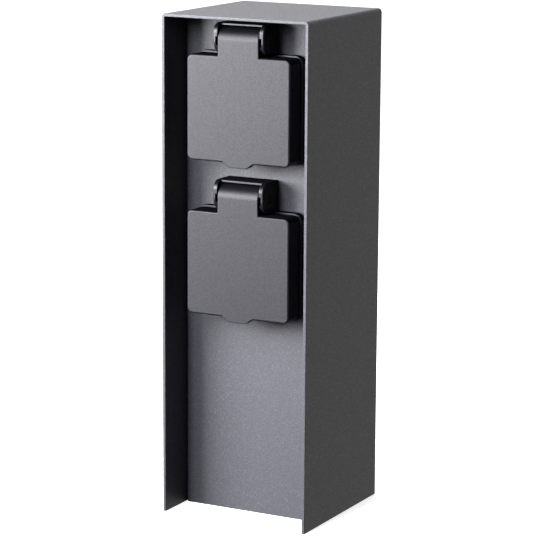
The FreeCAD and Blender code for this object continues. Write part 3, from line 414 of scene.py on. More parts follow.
class Nodes:
    """Short ways to add and join the nodes of one tree."""

    def __init__(self, tree: bpy.types.NodeTree) -> None:
        """Starts with an empty tree."""
        tree.nodes.clear()
        self.tree = tree

    def add(self, kind: str, **settings: object) -> bpy.types.Node:
        """Adds a node.

        Args:
            kind: Blender's name of the node type.
            settings: Attributes of the node, or values of its inputs where the name starts with in_.

        Returns:
            The node.
        """
        node = self.tree.nodes.new(kind)
        for key, value in settings.items():
            if key.startswith("in_"):
                node.inputs[key.removeprefix("in_").replace("_", " ")].default_value = value
            else:
                setattr(node, key, value)
        return node

    def join(self, source: Socket | float, target: Socket) -> None:
        """Joins an output to an input, or sets the input to a number.

        Args:
            source: The output or the number.
            target: The input.
        """
        if isinstance(source, Socket):
            self.tree.links.new(source, target)
        else:
            target.default_value = source

    def calculate(self, operation: str, *values: Socket | float) -> Socket:
        """Calculates with outputs and numbers.

        Args:
            operation: Blender's name of the calculation.
            values: What it works on, in order.

        Returns:
            The result.
        """
        node = self.add("ShaderNodeMath", operation=operation)
        for value, target in zip(values, node.inputs):
            self.join(value, target)
        return node.outputs["Value"]

    def span(self, value: Socket, low: float, high: float,
             start: float = 0.3, end: float = 0.7, course: Course = Course.STRAIGHT) -> Socket:
        """Maps a factor to a range. Without start and end, it is a factor from noise.

        Args:
            value: The factor.
            low: Result at and below start.
            high: Result at and above end.
            start: Lower end of the factor.
            end: Upper end of the factor.
            course: How it runs between them.

        Returns:
            The mapped value.
        """
        node = self.add("ShaderNodeMapRange", interpolation_type=course.value,
                        in_From_Min=start, in_From_Max=end, in_To_Min=low, in_To_Max=high)
        self.join(value, node.inputs["Value"])
        return node.outputs["Result"]

    def blend(self, share: Socket, low: float, high: float) -> Socket:
        """Maps a share from 0 to 1 to a range."""
        return self.span(share, low, high, 0.0, 1.0)

    def mix(self, share: Socket, first: Colour, second: Colour) -> Socket:
        """Mixes two colours by a share.

        Args:
            share: Share of the second colour.
            first: First colour, linear.
            second: Second colour, linear.

        Returns:
            The mixed colour.
        """
        node = self.add("ShaderNodeMix", data_type="RGBA")
        colours = {"A": first, "B": second}
        for socket in node.inputs:
            if socket.type == "RGBA":
                socket.default_value = (*colours[socket.name], 1.0)
        self.join(share, node.inputs["Factor"])
        return next(socket for socket in node.outputs if socket.type == "RGBA")

    def facing(self, direction: Point3, way: Socket) -> Socket:
        """Measures how far a way agrees with a fixed direction.

        Args:
            direction: The fixed direction.
            way: The way that is measured, one long.

        Returns:
            The cosine of the angle between them.
        """
        node = self.add("ShaderNodeVectorMath", operation="DOT_PRODUCT")
        node.inputs[1].default_value = Vector(direction).normalized()
        self.join(way, node.inputs[0])
        return node.outputs["Value"]


class Paintwork(Nodes):
    """The nodes of one material, with the coordinates on the piece and the shader."""

    def __init__(self, material: bpy.types.Material, **settings: object) -> None:
        """Starts with a shader that nothing is joined to.

        Args:
            material: A new material.
            settings: Values of the shader's inputs, as add takes them.
        """
        material.use_nodes = True
        super().__init__(material.node_tree)
        coordinates = self.add("ShaderNodeTexCoord")
        self.place = coordinates.outputs["Object"]
        self.normal = coordinates.outputs["Normal"]
        self.shader = self.add("ShaderNodeBsdfPrincipled", **settings)
        output = self.add("ShaderNodeOutputMaterial")
        self.join(self.shader.outputs["BSDF"], output.inputs["Surface"])

    def give(self, quality: str, source: Socket) -> None:
        """Joins an output to the shader's input of that name."""
        self.join(source, self.shader.inputs[quality])

    def noise(self, size: float, detail: float = 2.0, place: Socket | None = None) -> Socket:
        """Adds noise.

        Args:
            size: Size of its features in millimetres.
            detail: Octaves of finer noise.
            place: Coordinates, where they aren't the piece's own.

        Returns:
            The factor, about 0.5 on average.
        """
        node = self.add("ShaderNodeTexNoise", in_Scale=1.0 / (size * MM), in_Detail=detail, in_Roughness=0.55)
        self.join(self.place if place is None else place, node.inputs["Vector"])
        return node.outputs["Fac"]

    def bump(self, height: Socket, depth: float, strength: Socket | float = 1.0,
             under: Socket | None = None) -> Socket:
        """Adds relief.

        Args:
            height: The relief, from 0 to 1.
            depth: How far 1 stands above 0, in millimetres.
            strength: Share of the relief that shows.
            under: Relief that lies under it.

        Returns:
            The way that the surface then faces.
        """
        node = self.add("ShaderNodeBump", in_Distance=depth * MM)
        self.join(height, node.inputs["Height"])
        self.join(strength, node.inputs["Strength"])
        if under is not None:
            self.join(under, node.inputs["Normal"])
        return node.outputs["Normal"]


@dataclass(frozen=True)
class Finish:
    """A finish whose colour, roughness and relief come from noise, with grain and relief in millimetres.

    The size of the patches that waver in roughness is a multiple of the grain.
    """

    name: str
    colour: Colour
    roughness: float
    grain: float = 0.8
    relief: float = 0.01
    speckle: float = 0.15
    metallic: float = 0.0
    specular: float = 0.5
    uneven: float = 0.06
    patches: float = 30.0
    glow: float = 0.0

    def material(self) -> bpy.types.Material:
        """The finish as a material, which is made once.

        Returns:
            The material.
        """
        made = bpy.data.materials.get(self.name)
        if made is None:
            made = bpy.data.materials.new(self.name)
            self.paint(Paintwork(made, in_Metallic=self.metallic, in_Specular_IOR_Level=self.specular,
                                 in_Emission_Color=(1.0, 1.0, 1.0, 1.0), in_Emission_Strength=self.glow))
        return made

    def tint(self, factor: float) -> Colour:
        """The finish's colour, made lighter or darker by a factor."""
        return tuple(channel * factor for channel in self.colour)

    def speckled(self, work: Paintwork, pattern: Socket) -> Socket:
        """Lets the colour vary with a pattern."""
        dark, light = self.tint(1.0 - self.speckle), self.tint(1.0 + self.speckle)
        return work.mix(work.span(pattern, 0.0, 1.0), dark, light)

    def wavering(self, work: Paintwork, pattern: Socket) -> Socket:
        """Lets the roughness vary with a pattern."""
        spread = self.uneven / 2
        return work.span(pattern, self.roughness - spread, self.roughness + spread)

    def paint(self, work: Paintwork) -> None:
        """Gives the shader a speckled colour, a wavering roughness and a fine relief.

        Args:
            work: The material's nodes.
        """
        fine = work.noise(self.grain)
        work.give("Base Color", self.speckled(work, fine))
        work.give("Roughness", self.wavering(work, work.noise(self.grain * self.patches, detail=3.0)))
        work.give("Normal", work.bump(fine, self.relief))


@dataclass(frozen=True)
class MouldedPlastic(Finish):
    """Black plastic, grained on its front, with smooth dark sides and painted shade on faces that turn
    upwards.

    The starts and ends are cosines of the angle to the grained way and to the way away from the top.
    """

    grained_way: Point3 = (0.0, -0.95, -0.30)
    side_start: float = -0.2
    side_end: float = 0.5
    side_roughness: float = 0.20
    away_from_top: Point3 = (0.0, -0.26, -0.97)
    top_start: float = -0.55
    top_end: float = 0.08
    # Painted shade: share of the colour kept on faces that turn upwards; top_shine is the share of their
    # reflection kept.
    painted_top_shade: float = 0.40
    top_shine: float = 0.20

    def paint(self, work: Paintwork) -> None:
        """Gives the shader the grain, lets it fade towards the sides and paints shade on faces that turn
        upwards.

        Args:
            work: The material's nodes.
        """
        front = work.span(work.facing(self.grained_way, work.normal), 0.0, 1.0,
                          self.side_start, self.side_end, Course.SMOOTH)
        # Painted shade: upright falls to 0 on faces that turn upwards, such as the tops and the tongue's
        # curl, where the colour is darkened and the reflection weakened.
        upright = work.span(work.facing(self.away_from_top, work.normal), 0.0, 1.0,
                            self.top_start, self.top_end, Course.SMOOTH)
        fine = work.noise(self.grain)
        shade = work.add("ShaderNodeVectorMath", operation="SCALE")
        work.join(self.speckled(work, fine), shade.inputs["Vector"])
        work.join(work.blend(upright, self.painted_top_shade, 1.0), shade.inputs["Scale"])
        work.give("Base Color", shade.outputs["Vector"])
        work.give("Roughness", work.blend(front, self.side_roughness, self.roughness))
        shine = work.calculate("MULTIPLY", work.blend(front, 0.0, self.specular),
                               work.blend(upright, self.top_shine, 1.0))
        sparkle = work.span(fine, 1.0 - self.speckle, 1.0 + self.speckle)
        work.give("Specular IOR Level", work.calculate("MULTIPLY", shine, sparkle))
        work.give("Normal", work.bump(fine, self.relief, strength=front))


@dataclass(frozen=True)
class PowderCoat(Finish):
    """Sprayed and baked paint: a low orange peel under a fine, slightly sparkling grain.

    Peel and flake are sizes in millimetres, and bare is the share of the surface without flakes.
    """

    peel: float = 2.5
    peel_relief: float = 0.006
    flake: float = 0.4
    bare: float = 0.72
    flake_light: float = 0.6
    flake_gloss: float = 0.08
    matt: float = 0.04
    brightest: float = 1.875

    def paint(self, work: Paintwork) -> None:
        """Gives the shader the grain, the orange peel and the sparkle.

        Args:
            work: The material's nodes.
        """
        fine = work.noise(self.grain, detail=1.0)
        cells = work.add("ShaderNodeTexVoronoi", in_Scale=1.0 / (self.flake * MM))
        work.join(work.place, cells.inputs["Vector"])
        split = work.add("ShaderNodeSeparateColor")
        work.join(cells.outputs["Color"], split.inputs["Color"])
        flakes = work.span(split.outputs["Red"], 0.0, 1.0, self.bare, 1.0)
        light = work.calculate("MULTIPLY_ADD", flakes, self.flake_light,
                               work.span(fine, 0.0, 1.0 - self.flake_light))
        work.give("Base Color", work.mix(light, self.tint(1.0 - self.speckle), self.tint(self.brightest)))
        matt, gloss = self.roughness + self.matt, self.roughness - self.flake_gloss
        work.give("Roughness", work.blend(flakes, matt, gloss))
        peel = work.bump(work.noise(self.peel, detail=1.0), self.peel_relief)
        work.give("Normal", work.bump(fine, self.relief, under=peel))


@dataclass(frozen=True)
class TurnedMetal(Finish):
    """Bare or plated metal with a fine drawn grain and faint stains.

    The length of the streaks and the size of the stains are multiples of the grain.
    """

    metallic: float = 1.0
    streak: float = 12.0
    stain: float = 14.0

    def paint(self, work: Paintwork) -> None:
        """Gives the shader a stained colour and streaks in roughness and relief.

        Args:
            work: The material's nodes.
        """
        stretch = work.add("ShaderNodeMapping", in_Scale=(1.0 / self.streak, 1.0, 1.0))
        work.join(work.place, stretch.inputs["Vector"])
        lines = work.noise(self.grain, detail=3.0, place=stretch.outputs["Vector"])
        stains = work.noise(self.grain * self.stain, detail=4.0)
        dull = self.tint(1.0 - self.speckle)
        work.give("Base Color", work.mix(work.span(stains, 0.0, 1.0), dull, self.colour))
        work.give("Roughness", self.wavering(work, lines))
        work.give("Normal", work.bump(lines, self.relief))


@dataclass(frozen=True)
class EarthSheath(Finish):
    """Green sheath with a yellow stripe along one side of the wire."""

    stripe: Colour = (0.75, 0.58, 0.03)
    stripe_way: Point3 = (1.0, 1.0, 0.0)
    stripe_edge: float = 0.25

    def paint(self, work: Paintwork) -> None:
        """Gives the shader the stripe and a fine grain.

        Args:
            work: The material's nodes.
        """
        side = work.calculate("GREATER_THAN", work.facing(self.stripe_way, work.normal), self.stripe_edge)
        work.give("Base Color", work.mix(side, self.colour, self.stripe))
        fine = work.noise(self.grain)
        work.give("Roughness", self.wavering(work, fine))
        work.give("Normal", work.bump(fine, self.relief))


# No finish has the name of a material slot, because a plain material is brought for each slot.

BLACK: Colour = (0.0053, 0.0049, 0.0074)

COAT = PowderCoat("anthracite_powder_coat", (0.034, 0.034, 0.040), 0.50, grain=0.50, relief=0.05,
                  speckle=0.34)
# Both plastic finishes paint shade on faces that turn upwards.
LID_SKIN = MouldedPlastic("grained_lid", BLACK, 0.53, grain=0.62, relief=0.04, speckle=0.17, specular=0.38)
FRAME_SKIN = MouldedPlastic("grained_frame_painted_shade", BLACK, 0.40, grain=0.62, relief=0.03, speckle=0.15,
                            specular=0.34, side_start=-0.35)
CARRIER_SKIN = Finish("carrier_moulding", (0.030, 0.030, 0.032), 0.45, grain=0.9, relief=0.006)
NYLON = Finish("milky_nylon", (0.62, 0.60, 0.54), 0.42, grain=1.2, relief=0.006, speckle=0.05)
GLAND_SKIN = Finish("gland_nylon", (0.05, 0.05, 0.052), 0.40, grain=0.9, relief=0.006)
RUBBER = Finish("matt_rubber", (0.012, 0.012, 0.012), 0.72, grain=0.6, relief=0.012, speckle=0.2)
PAPER = Finish("pale_paper", (0.80, 0.80, 0.80), 0.85, grain=2.0, speckle=0.01, specular=0.1, glow=0.75)
ZINC = TurnedMetal("zinc_plate", (0.62, 0.64, 0.66), 0.34, grain=0.35, relief=0.002, uneven=0.14)
STEEL = TurnedMetal("spring_steel", (0.66, 0.65, 0.63), 0.24, grain=0.25, relief=0.0015, uneven=0.12)
BROWNED = TurnedMetal("browned_steel", (0.020, 0.020, 0.022), 0.38, grain=0.25, relief=0.0015)
OILED = TurnedMetal("oiled_steel", (0.075, 0.075, 0.080), 0.34, grain=0.25, relief=0.0015, uneven=0.12)
BRASS = TurnedMetal("drawn_brass", (0.78, 0.58, 0.26), 0.28, grain=0.3, relief=0.002, uneven=0.12)
BROWN_WIRE = Finish("brown_wire", (0.10, 0.040, 0.018), 0.38, grain=1.0, relief=0.004, speckle=0.08)
BLUE_WIRE = Finish("blue_wire", (0.020, 0.075, 0.30), 0.38, grain=1.0, relief=0.004, speckle=0.08)
EARTH_WIRE = EarthSheath("earth_wire", (0.03, 0.22, 0.04), 0.38, grain=1.0, relief=0.004)


# Sub-assemblies

@dataclass(frozen=True)
class CrossScrew:
    """A countersunk screw with a cross recess, whose head is flush at its place, in millimetres.

    Chamfers are given as their width across the axis and along it.
    """

    head_r: float = 2.75
    head_depth: float = 1.25
    rim: float = 0.25
    rim_chamfer: Point2 = (0.12, 0.1)
    shank_r: float = 1.5
    length: float = 8.0
    tip_chamfer: Point2 = (0.5, 0.6)
    arm: float = 1.45
    blade: float = 0.5
    arm_depth: float = 0.9
    centre_r: Point2 = (0.75, 0.35)
    centre_depth: float = 1.15
    past_head: float = 0.2

    def make(self, way: float) -> Workpiece:
        """Makes the screw at the origin, along Y.

        Args:
            way: 1 if its tip points along +Y, -1 if it points along -Y.

        Returns:
            The screw.
        """
        rim_across, rim_along = self.rim_chamfer
        tip_across, tip_along = self.tip_chamfer
        head = [(0.0, 0.0), (self.head_r - rim_across, 0.0), (self.head_r, rim_along),
                (self.head_r, self.rim)]
        shank = [(self.shank_r, self.head_depth), (self.shank_r, self.length - tip_along),
                 (self.shank_r - tip_across, self.length), (0.0, self.length)]
        screw = self.turned(head + shank, way, steps=40)
        low, high = sorted((-way * self.past_head, way * self.arm_depth))
        arms = [Workpiece.prism(rectangle((-across, -up), (across, up)), Axis.Y, low, high)
                for across, up in ((self.arm, self.blade / 2), (self.blade / 2, self.arm))]
        wide, narrow = self.centre_r
        cone = [(0.0, -self.past_head), (wide, -self.past_head), (narrow, self.centre_depth),
                (0.0, self.centre_depth)]
        return screw.cut(*arms, self.turned(cone, way, steps=24))

    def turned(self, profile: Sequence[Point2], way: float, steps: int) -> Workpiece:
        """Turns a profile round the screw's axis, along the way that the tip points."""
        placed = [(radius, way * along) for radius, along in profile]
        return Workpiece.turned(placed, Axis.Y, (0.0, 0.0), steps)


@dataclass
class Shell:
    """The bent hood and the back panel's screws, in millimetres."""

    half_width: float = 40.0
    half_depth: float = 39.5
    height: float = 250.0
    sheet: float = 1.6
    bend: float = 2.0
    cut_edge: float = 0.3
    screw_sides: Point2 = (31.9, 9.0)
    screw_heights: Point3 = (45.0, 130.0, 215.0)
    tab_screw_height: float = 12.0

    def hood(self) -> None:
        """Bends the hood from one sheet: wall, roof, wall."""
        corner_x = self.half_width - self.bend
        corner_z = self.height - self.bend
        inner = self.bend - self.sheet
        outline: list[Point2] = [(self.half_width, 0.0)]
        outline += arc((corner_x, corner_z), self.bend, 0.0, 90.0, steps=12)
        outline += arc((-corner_x, corner_z), self.bend, 90.0, 180.0, steps=12)
        outline += [(-self.half_width, 0.0), (self.sheet - self.half_width, 0.0)]
        outline += arc((-corner_x, corner_z), inner, 180.0, 90.0, steps=6)
        outline += arc((corner_x, corner_z), inner, 90.0, 0.0, steps=6)
        outline.append((self.half_width - self.sheet, 0.0))
        hood = Workpiece.prism(outline, Axis.Y, -self.half_depth, self.half_depth)
        hood.soften(self.cut_edge)
        hood.hand_over("bent_hood", "column", COAT, "coated_steel", "hood")

    def back_screws(self) -> None:
        """Sets the screws of the back panel."""
        outer, inner = self.screw_sides
        places = [(side * outer, height) for side in (-1, 1) for height in self.screw_heights]
        places += [(side * inner, self.tab_screw_height) for side in (-1, 1)]
        screws = CrossScrew().make(-1.0)
        screws.spread([Vector((x, self.half_depth, z)) for x, z in places])
        screws.hand_over("back_panel_screws", "column", ZINC, "zinc_steel", "back_screws")

    def build(self) -> None:
        """Builds the hood and the screws."""
        self.hood()
        self.back_screws()


@dataclass
class Outlet:
    """One outlet: frame with hinge ears and plug well, lid, pin, seal and corner screws, in millimetres.

    Sizes called half are measured from the middle. Past and overlap are how far cutters and joined parts
    reach over a face, and the angles of the seal's edge are in radians.
    """

    level: Level
    lid_half: Point2 = (28.2, 25.8)
    lid_corner: float = 2.8
    lid_front: float = -35.5
    lid_inside: float = -33.5
    lid_back: float = -24.2
    lid_edge: float = 0.9
    rim_edge: float = 0.35
    skirt: float = 1.8
    pull_half: float = 8.6
    pull_slope: float = 4.4
    pull_drop: float = 2.4
    pull_thickness: float = 4.0
    pull_root: float = 3.0
    tongue_half: float = 11.2
    tongue_edge: float = 0.6
    knuckle_r: float = 7.0
    pocket_r: float = 5.0
    pocket_half: float = 5.6
    pin_y: float = -28.5
    pin_rise: float = 32.9
    pin_r: float = 1.9
    pin_half: float = 13.6
    pin_chamfer: float = 0.3
    pin_play_in_lid: float = 0.08
    pin_play_in_frame: float = 0.03
    bore_half: float = 20.0
    flange_half: Point2 = (28.85, 26.65)
    flange_corner: float = 4.0
    flange_front: float = -23.9
    flange_back: float = -20.0
    flange_edge: float = 0.3
    ear_inner: float = 11.5
    ear_outer: float = 13.8
    ear_r: float = 6.7
    ear_corner: float = 4.6
    ear_inner_edge: float = 0.2
    ear_outer_edge: float = 0.55
    groove_depth: float = 1.1
    groove_half: float = 2.1
    bar_low: float = 7.45
    bar_top: float = 8.55
    bar_front: float = -31.4
    bar_edge: float = 0.66
    block_back: float = -19.3
    block_wall: float = 1.6
    collar_r: float = 22.2
    well_r: float = 19.7
    rim_y: float = -31.9
    floor_front: float = -14.4
    floor_back: float = -12.0
    tube_r: float = 20.9
    tube_back: float = 8.0
    plug_hole_x: float = 9.5
    plug_hole_r: float = 2.9
    clip_slot: Point2 = (17.8, 19.2)
    clip_slot_half: float = 3.4
    screw_at: Point2 = (22.6, 20.2)
    screw_length: float = 9.4
    screw_hole_r: float = 1.6
    sink_r: float = 2.9
    sink_depth: float = 1.3
    seal_inner: float = 19.9
    seal_outer: float = 22.2
    seal_edge: float = 0.5
    seal_edge_angles: Point3 = (0.5, 1.0, 1.57)
    seal_gap: float = 0.2
    past: float = 1.0
    overlap: float = 0.5

    @property
    def middle(self) -> float:
        """Height of the middle of the well."""
        return self.level.value

    @property
    def pin_z(self) -> float:
        """Height of the hinge pin."""
        return self.middle + self.pin_rise

    @property
    def pin_at(self) -> Point2:
        """Where the pin's axis lies, in Y and Z."""
        return (self.pin_y, self.pin_z)

    def named(self, what: str) -> str:
        """Name of one of this outlet's pieces, nodes or bodies."""
        return f"{self.level.prefix}_{what}"

    def pull_outline(self) -> list[Point2]:
        """Outline of the lip below the lid: two S-curved sides and a straight lower edge.

        Returns:
            The outline's points, in X and Z.
        """
        low = self.middle - self.lid_half[1]
        steps = 10
        side: list[Point2] = []
        for number in range(steps + 1):
            share = number / steps
            drop = self.pull_drop * (1.0 - math.cos(math.pi * share)) / 2
            side.append((self.pull_half - self.pull_slope * share, low - drop))
        left = [(-x, z) for x, z in side]
        right = list(reversed(side))
        root = low + self.pull_root
        return [(-self.pull_half, root)] + left + right + [(self.pull_half, root)]

    def tongue_outline(self, inset: float) -> list[Point2]:
        """Side view of the tongue, from the lid's top edge up and round the pin.

        Args:
            inset: How far the outline is moved inwards.

        Returns:
            The outline's points, in Y and Z.
        """
        low = self.middle + self.lid_half[1] - self.skirt
        outline: list[Point2] = [(self.pin_y, low), (self.lid_front + inset, low)]
        outline += arc(self.pin_at, self.knuckle_r - inset, 180.0, -90.0, steps=66)
        return outline

    def cap_outline(self, inset: float) -> list[Point2]:
        """Front view of the lid without tongue and lip.

        Args:
            inset: How far the outline is moved inwards.

        Returns:
            The outline's points, in X and Z.
        """
        half = (self.lid_half[0] - inset, self.lid_half[1] - inset)
        return rounded_rectangle(half, self.lid_corner - inset, (0.0, self.middle))

    def pin_bore(self, play: float) -> Workpiece:
        """Makes the cutter for the pin's hole.

        Args:
            play: How much the hole's radius is larger than the pin's.

        Returns:
            The cutter.
        """
        outline = circle(self.pin_at, self.pin_r + play, steps=48)
        return Workpiece.prism(outline, Axis.X, -self.bore_half, self.bore_half)

    def lid(self) -> None:
        """Moulds the lid: a shallow cap with its lip and its tongue round the pin."""
        front = self.lid_front
        cap = Workpiece.rounded(self.cap_outline, Axis.Y, (front, self.lid_back),
                                (self.lid_edge, self.rim_edge))
        lip = Workpiece.prism(self.pull_outline(), Axis.Y, front, front + self.pull_thickness)
        lip.soften(self.rim_edge)
        tongue = Workpiece.rounded(self.tongue_outline, Axis.X, (-self.tongue_half, self.tongue_half),
                                   (self.tongue_edge, self.tongue_edge))
        hollow = Workpiece.rounded(lambda inset: self.cap_outline(self.skirt + inset), Axis.Y,
                                   (self.lid_inside, self.lid_back + self.past), (self.rim_edge, 0.0))
        reach = self.knuckle_r + self.overlap
        behind = rectangle((self.pin_y, self.pin_z - reach), (self.pin_y + reach, self.pin_z + reach))
        spring_room = [Workpiece.prism(outline, Axis.X, -self.pocket_half, self.pocket_half)
                       for outline in (circle(self.pin_at, self.pocket_r, steps=64), behind)]
        cap.join(lip, tongue).cut(hollow, self.pin_bore(self.pin_play_in_lid), *spring_room)
        cap.hand_over(self.named("spring_lid"), self.named("flap"), LID_SKIN, "lid_plastic",
                      self.named("lid"))

    def ear_outline(self, inset: float) -> list[Point2]:
        """Side view of a hinge ear: round below the pin, upright in front, rounded on top.

        Args:
            inset: How far the outline is moved inwards.

        Returns:
            The outline's points, in Y and Z.
        """
        top = self.pin_z + self.bar_top - inset
        flange_top = self.middle + self.flange_half[1]
        radius = self.ear_r - inset
        corner_r = self.ear_corner - inset
        corner = (self.pin_y - self.ear_r + self.ear_corner, top - corner_r)
        outline: list[Point2] = [(self.block_back, flange_top), (self.flange_back, flange_top),
                                 (self.flange_back, self.pin_z - radius)]
        outline += arc(self.pin_at, radius, -90.0, -180.0, steps=18)
        outline += arc(corner, corner_r, 180.0, 90.0, steps=14)
        outline.append((self.block_back, top))
        return outline

    def ears(self) -> list[Workpiece]:
        """Makes both ears, each with the lead-in groove on its inner face.

        Returns:
            The two ears.
        """
        made = []
        for side in (-1, 1):
            ear = Workpiece.rounded(self.ear_outline, Axis.X, (side * self.ear_inner, side * self.ear_outer),
                                    (self.ear_inner_edge, self.ear_outer_edge))
            depths = (self.ear_inner - self.overlap, self.ear_inner + self.groove_depth)
            start, end = sorted(side * depth for depth in depths)
            groove = rectangle((self.pin_y - self.ear_r - self.overlap, self.pin_z - self.groove_half),
                               (self.pin_y, self.pin_z + self.groove_half))
            made.append(ear.cut(Workpiece.prism(groove, Axis.X, start, end)))
        return made

    def bar(self) -> Workpiece:
        """Makes the bar that joins the ears over the tongue, with the wall behind the spring.

        Returns:
            Bar and wall as one piece.
        """
        low, top = self.pin_z + self.bar_low, self.pin_z + self.bar_top
        flange_top = self.middle + self.flange_half[1]
        reach = self.ear_inner + self.overlap
        edge = self.bar_edge
        nose: list[Point2] = [(self.block_back, top), (self.block_back, low), (self.bar_front, low)]
        nose += arc((self.bar_front + edge, top - edge), edge, 180.0, 90.0, steps=8)
        bar = Workpiece.prism(nose, Axis.X, -reach, reach)
        wall = rectangle((self.block_back - self.block_wall, flange_top), (self.block_back, top))
        return bar.join(Workpiece.prism(wall, Axis.X, -reach, reach))

    def well(self) -> Workpiece:
        """Turns the collar, the plug well with its floor and the tube behind it.

        Returns:
            The turned piece.
        """
        edge = self.rim_edge
        profile: list[Point2] = [(0.0, self.floor_front), (self.well_r, self.floor_front)]
        profile += arc((self.well_r + edge, self.rim_y + edge), edge, 180.0, 270.0, steps=5)
        profile += arc((self.collar_r - edge, self.rim_y + edge), edge, 270.0, 360.0, steps=5)
        profile += [(self.collar_r, self.tube_back), (self.tube_r, self.tube_back),
                    (self.tube_r, self.floor_back), (0.0, self.floor_back)]
        return Workpiece.turned(profile, Axis.Y, (0.0, self.middle), steps=128)

    def flange(self) -> Workpiece:
        """Moulds the square flange with its rounded edges and an opening for the well.

        Returns:
            The flange.
        """
        plate = Workpiece.prism(rounded_rectangle(self.flange_half, self.flange_corner, (0.0, self.middle)),
                                Axis.Y, self.flange_front, self.flange_back)
        plate.soften(self.flange_edge)
        between = (self.well_r + self.collar_r) / 2
        return plate.cut(Workpiece.prism(circle((0.0, self.middle), between, steps=128), Axis.Y,
                                         self.flange_front - self.past, self.flange_back + self.past))

    def frame_cutters(self) -> list[Workpiece]:
        """Makes the cutters for the pin's bore, the openings in the well's floor and the screw holes.

        Returns:
            The cutters.
        """
        front, back = self.floor_front - self.past, self.floor_back + self.past
        near, far = self.clip_slot
        cutters = [self.pin_bore(self.pin_play_in_frame)]
        for side in (-1, 1):
            hole = circle((side * self.plug_hole_x, self.middle), self.plug_hole_r, steps=48)
            low, high = sorted((self.middle + side * near, self.middle + side * far))
            slot = rectangle((-self.clip_slot_half, low), (self.clip_slot_half, high))
            cutters += [Workpiece.prism(outline, Axis.Y, front, back) for outline in (hole, slot)]
        start, end = self.flange_front - self.past, self.flange_back + self.past
        screw_hole = [(0.0, start), (self.sink_r, start), (self.sink_r, self.flange_front),
                      (self.screw_hole_r, self.flange_front + self.sink_depth), (self.screw_hole_r, end),
                      (0.0, end)]
        cutters += [Workpiece.turned(screw_hole, Axis.Y, place, steps=32) for place in self.screw_places()]
        return cutters

    def frame(self) -> None:
        """Moulds the frame: flange, hinge block, collar and plug well with its floor."""
        piece = self.flange().join(self.well(), self.bar(), *self.ears())
        piece.cut(*self.frame_cutters())
        piece.hand_over(self.named("outlet_frame"), "column", FRAME_SKIN, "frame_plastic",
                        self.named("socket_frame"))

    def screw_places(self) -> list[Point2]:
        """Where the four corner screws stand."""
        across, up = self.screw_at
        return [(side * across, self.middle + level * up) for side in (-1, 1) for level in (-1, 1)]

    def screws(self) -> None:
        """Sets the corner screws of the flange."""
        screws = CrossScrew(length=self.screw_length).make(1.0)
        screws.spread([Vector((x, self.flange_front, z)) for x, z in self.screw_places()])
        screws.hand_over(self.named("corner_screws"), "column", OILED, "bright_steel",
                         self.named("flange_screws"))

    def pin(self) -> None:
        """Turns the hinge pin, with chamfered ends."""
        end, edge = self.pin_half, self.pin_chamfer
        profile = [(0.0, -end), (self.pin_r - edge, -end), (self.pin_r, edge - end), (self.pin_r, end - edge),
                   (self.pin_r - edge, end), (0.0, end)]
        pin = Workpiece.turned(profile, Axis.X, self.pin_at, steps=48)
        pin.hand_over(self.named("lid_pin"), "column", BROWNED, "bright_steel", self.named("hinge_pin"))

    def seal(self) -> None:
        """Forms the foam ring inside the lid, with a rounded front edge."""
        inner, outer, edge = self.seal_inner, self.seal_outer, self.seal_edge
        start, end = self.lid_inside, self.rim_y - self.seal_gap
        turns = [(edge * math.cos(angle), edge * math.sin(angle)) for angle in self.seal_edge_angles]
        profile = [(inner, start), (outer, start), (outer, end - edge)]
        profile += [(outer - edge + across, end - edge + along) for across, along in turns]
        profile += [(inner + edge - across, end - edge + along) for across, along in reversed(turns)]
        profile += [(inner, end - edge), (inner, start)]
        ring = Workpiece.turned(profile, Axis.Y, (0.0, self.middle), steps=96)
        ring.hand_over(self.named("foam_seal"), self.named("flap"), RUBBER, "seal_rubber",
                       self.named("lid_seal"))

    def build(self) -> None:
        """Builds every piece of the outlet that is made here."""
        self.frame()
        self.lid()
        self.screws()
        self.pin()
        self.seal()


@dataclass
class CarriedOver:
    """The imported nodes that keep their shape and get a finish."""

    def finishes(self) -> dict[str, Finish]:
        """Each node's finish, by the node's name or the end of it.

        Returns:
            Finishes by the end of the node's name.
        """
        return {
            "front_panel": COAT, "back_panel": COAT, "clinch_nuts": ZINC, "base_plate": ZINC,
            "cable_grommet": RUBBER, "terminal_bracket": ZINC, "bracket_screws": ZINC,
            "gland_body": GLAND_SKIN, "gland_dome_nut": GLAND_SKIN, "gland_bush": RUBBER,
            "gland_locknut": GLAND_SKIN, "terminal_block": NYLON, "terminal_clamps": BRASS,
            "clamp_screws": ZINC, "block_screws": ZINC, "earth_stud": ZINC, "earth_lug": BRASS,
            "earth_nut": ZINC, "flange_gasket": RUBBER, "flange_nuts": ZINC, "contact_carrier": CARRIER_SKIN,
            "line_contact": BRASS, "neutral_contact": BRASS, "earth_strap": STEEL, "terminal_screws": ZINC,
            "rear_cover": CARRIER_SKIN, "cover_screws": ZINC, "lid_spring": STEEL,
            "earth_stud_wire": EARTH_WIRE, "line_wire": BROWN_WIRE, "neutral_wire": BLUE_WIRE,
            "earth_wire": EARTH_WIRE,
        }

    def dress(self) -> None:
        """Gives every node that is still shown its finish."""
        finishes = self.finishes()
        for name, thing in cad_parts.items():
            if thing.hide_render:
                continue
            endings = [ending for ending in finishes if name.endswith(ending)]
            finish = finishes[max(endings, key=len)]
            if not thing.material_slots:
                thing.data.materials.append(finish.material())
            for slot in thing.material_slots:
                slot.material = finish.material()
            log.info("%s: carried over with %s", name, finish.name)


# Studio

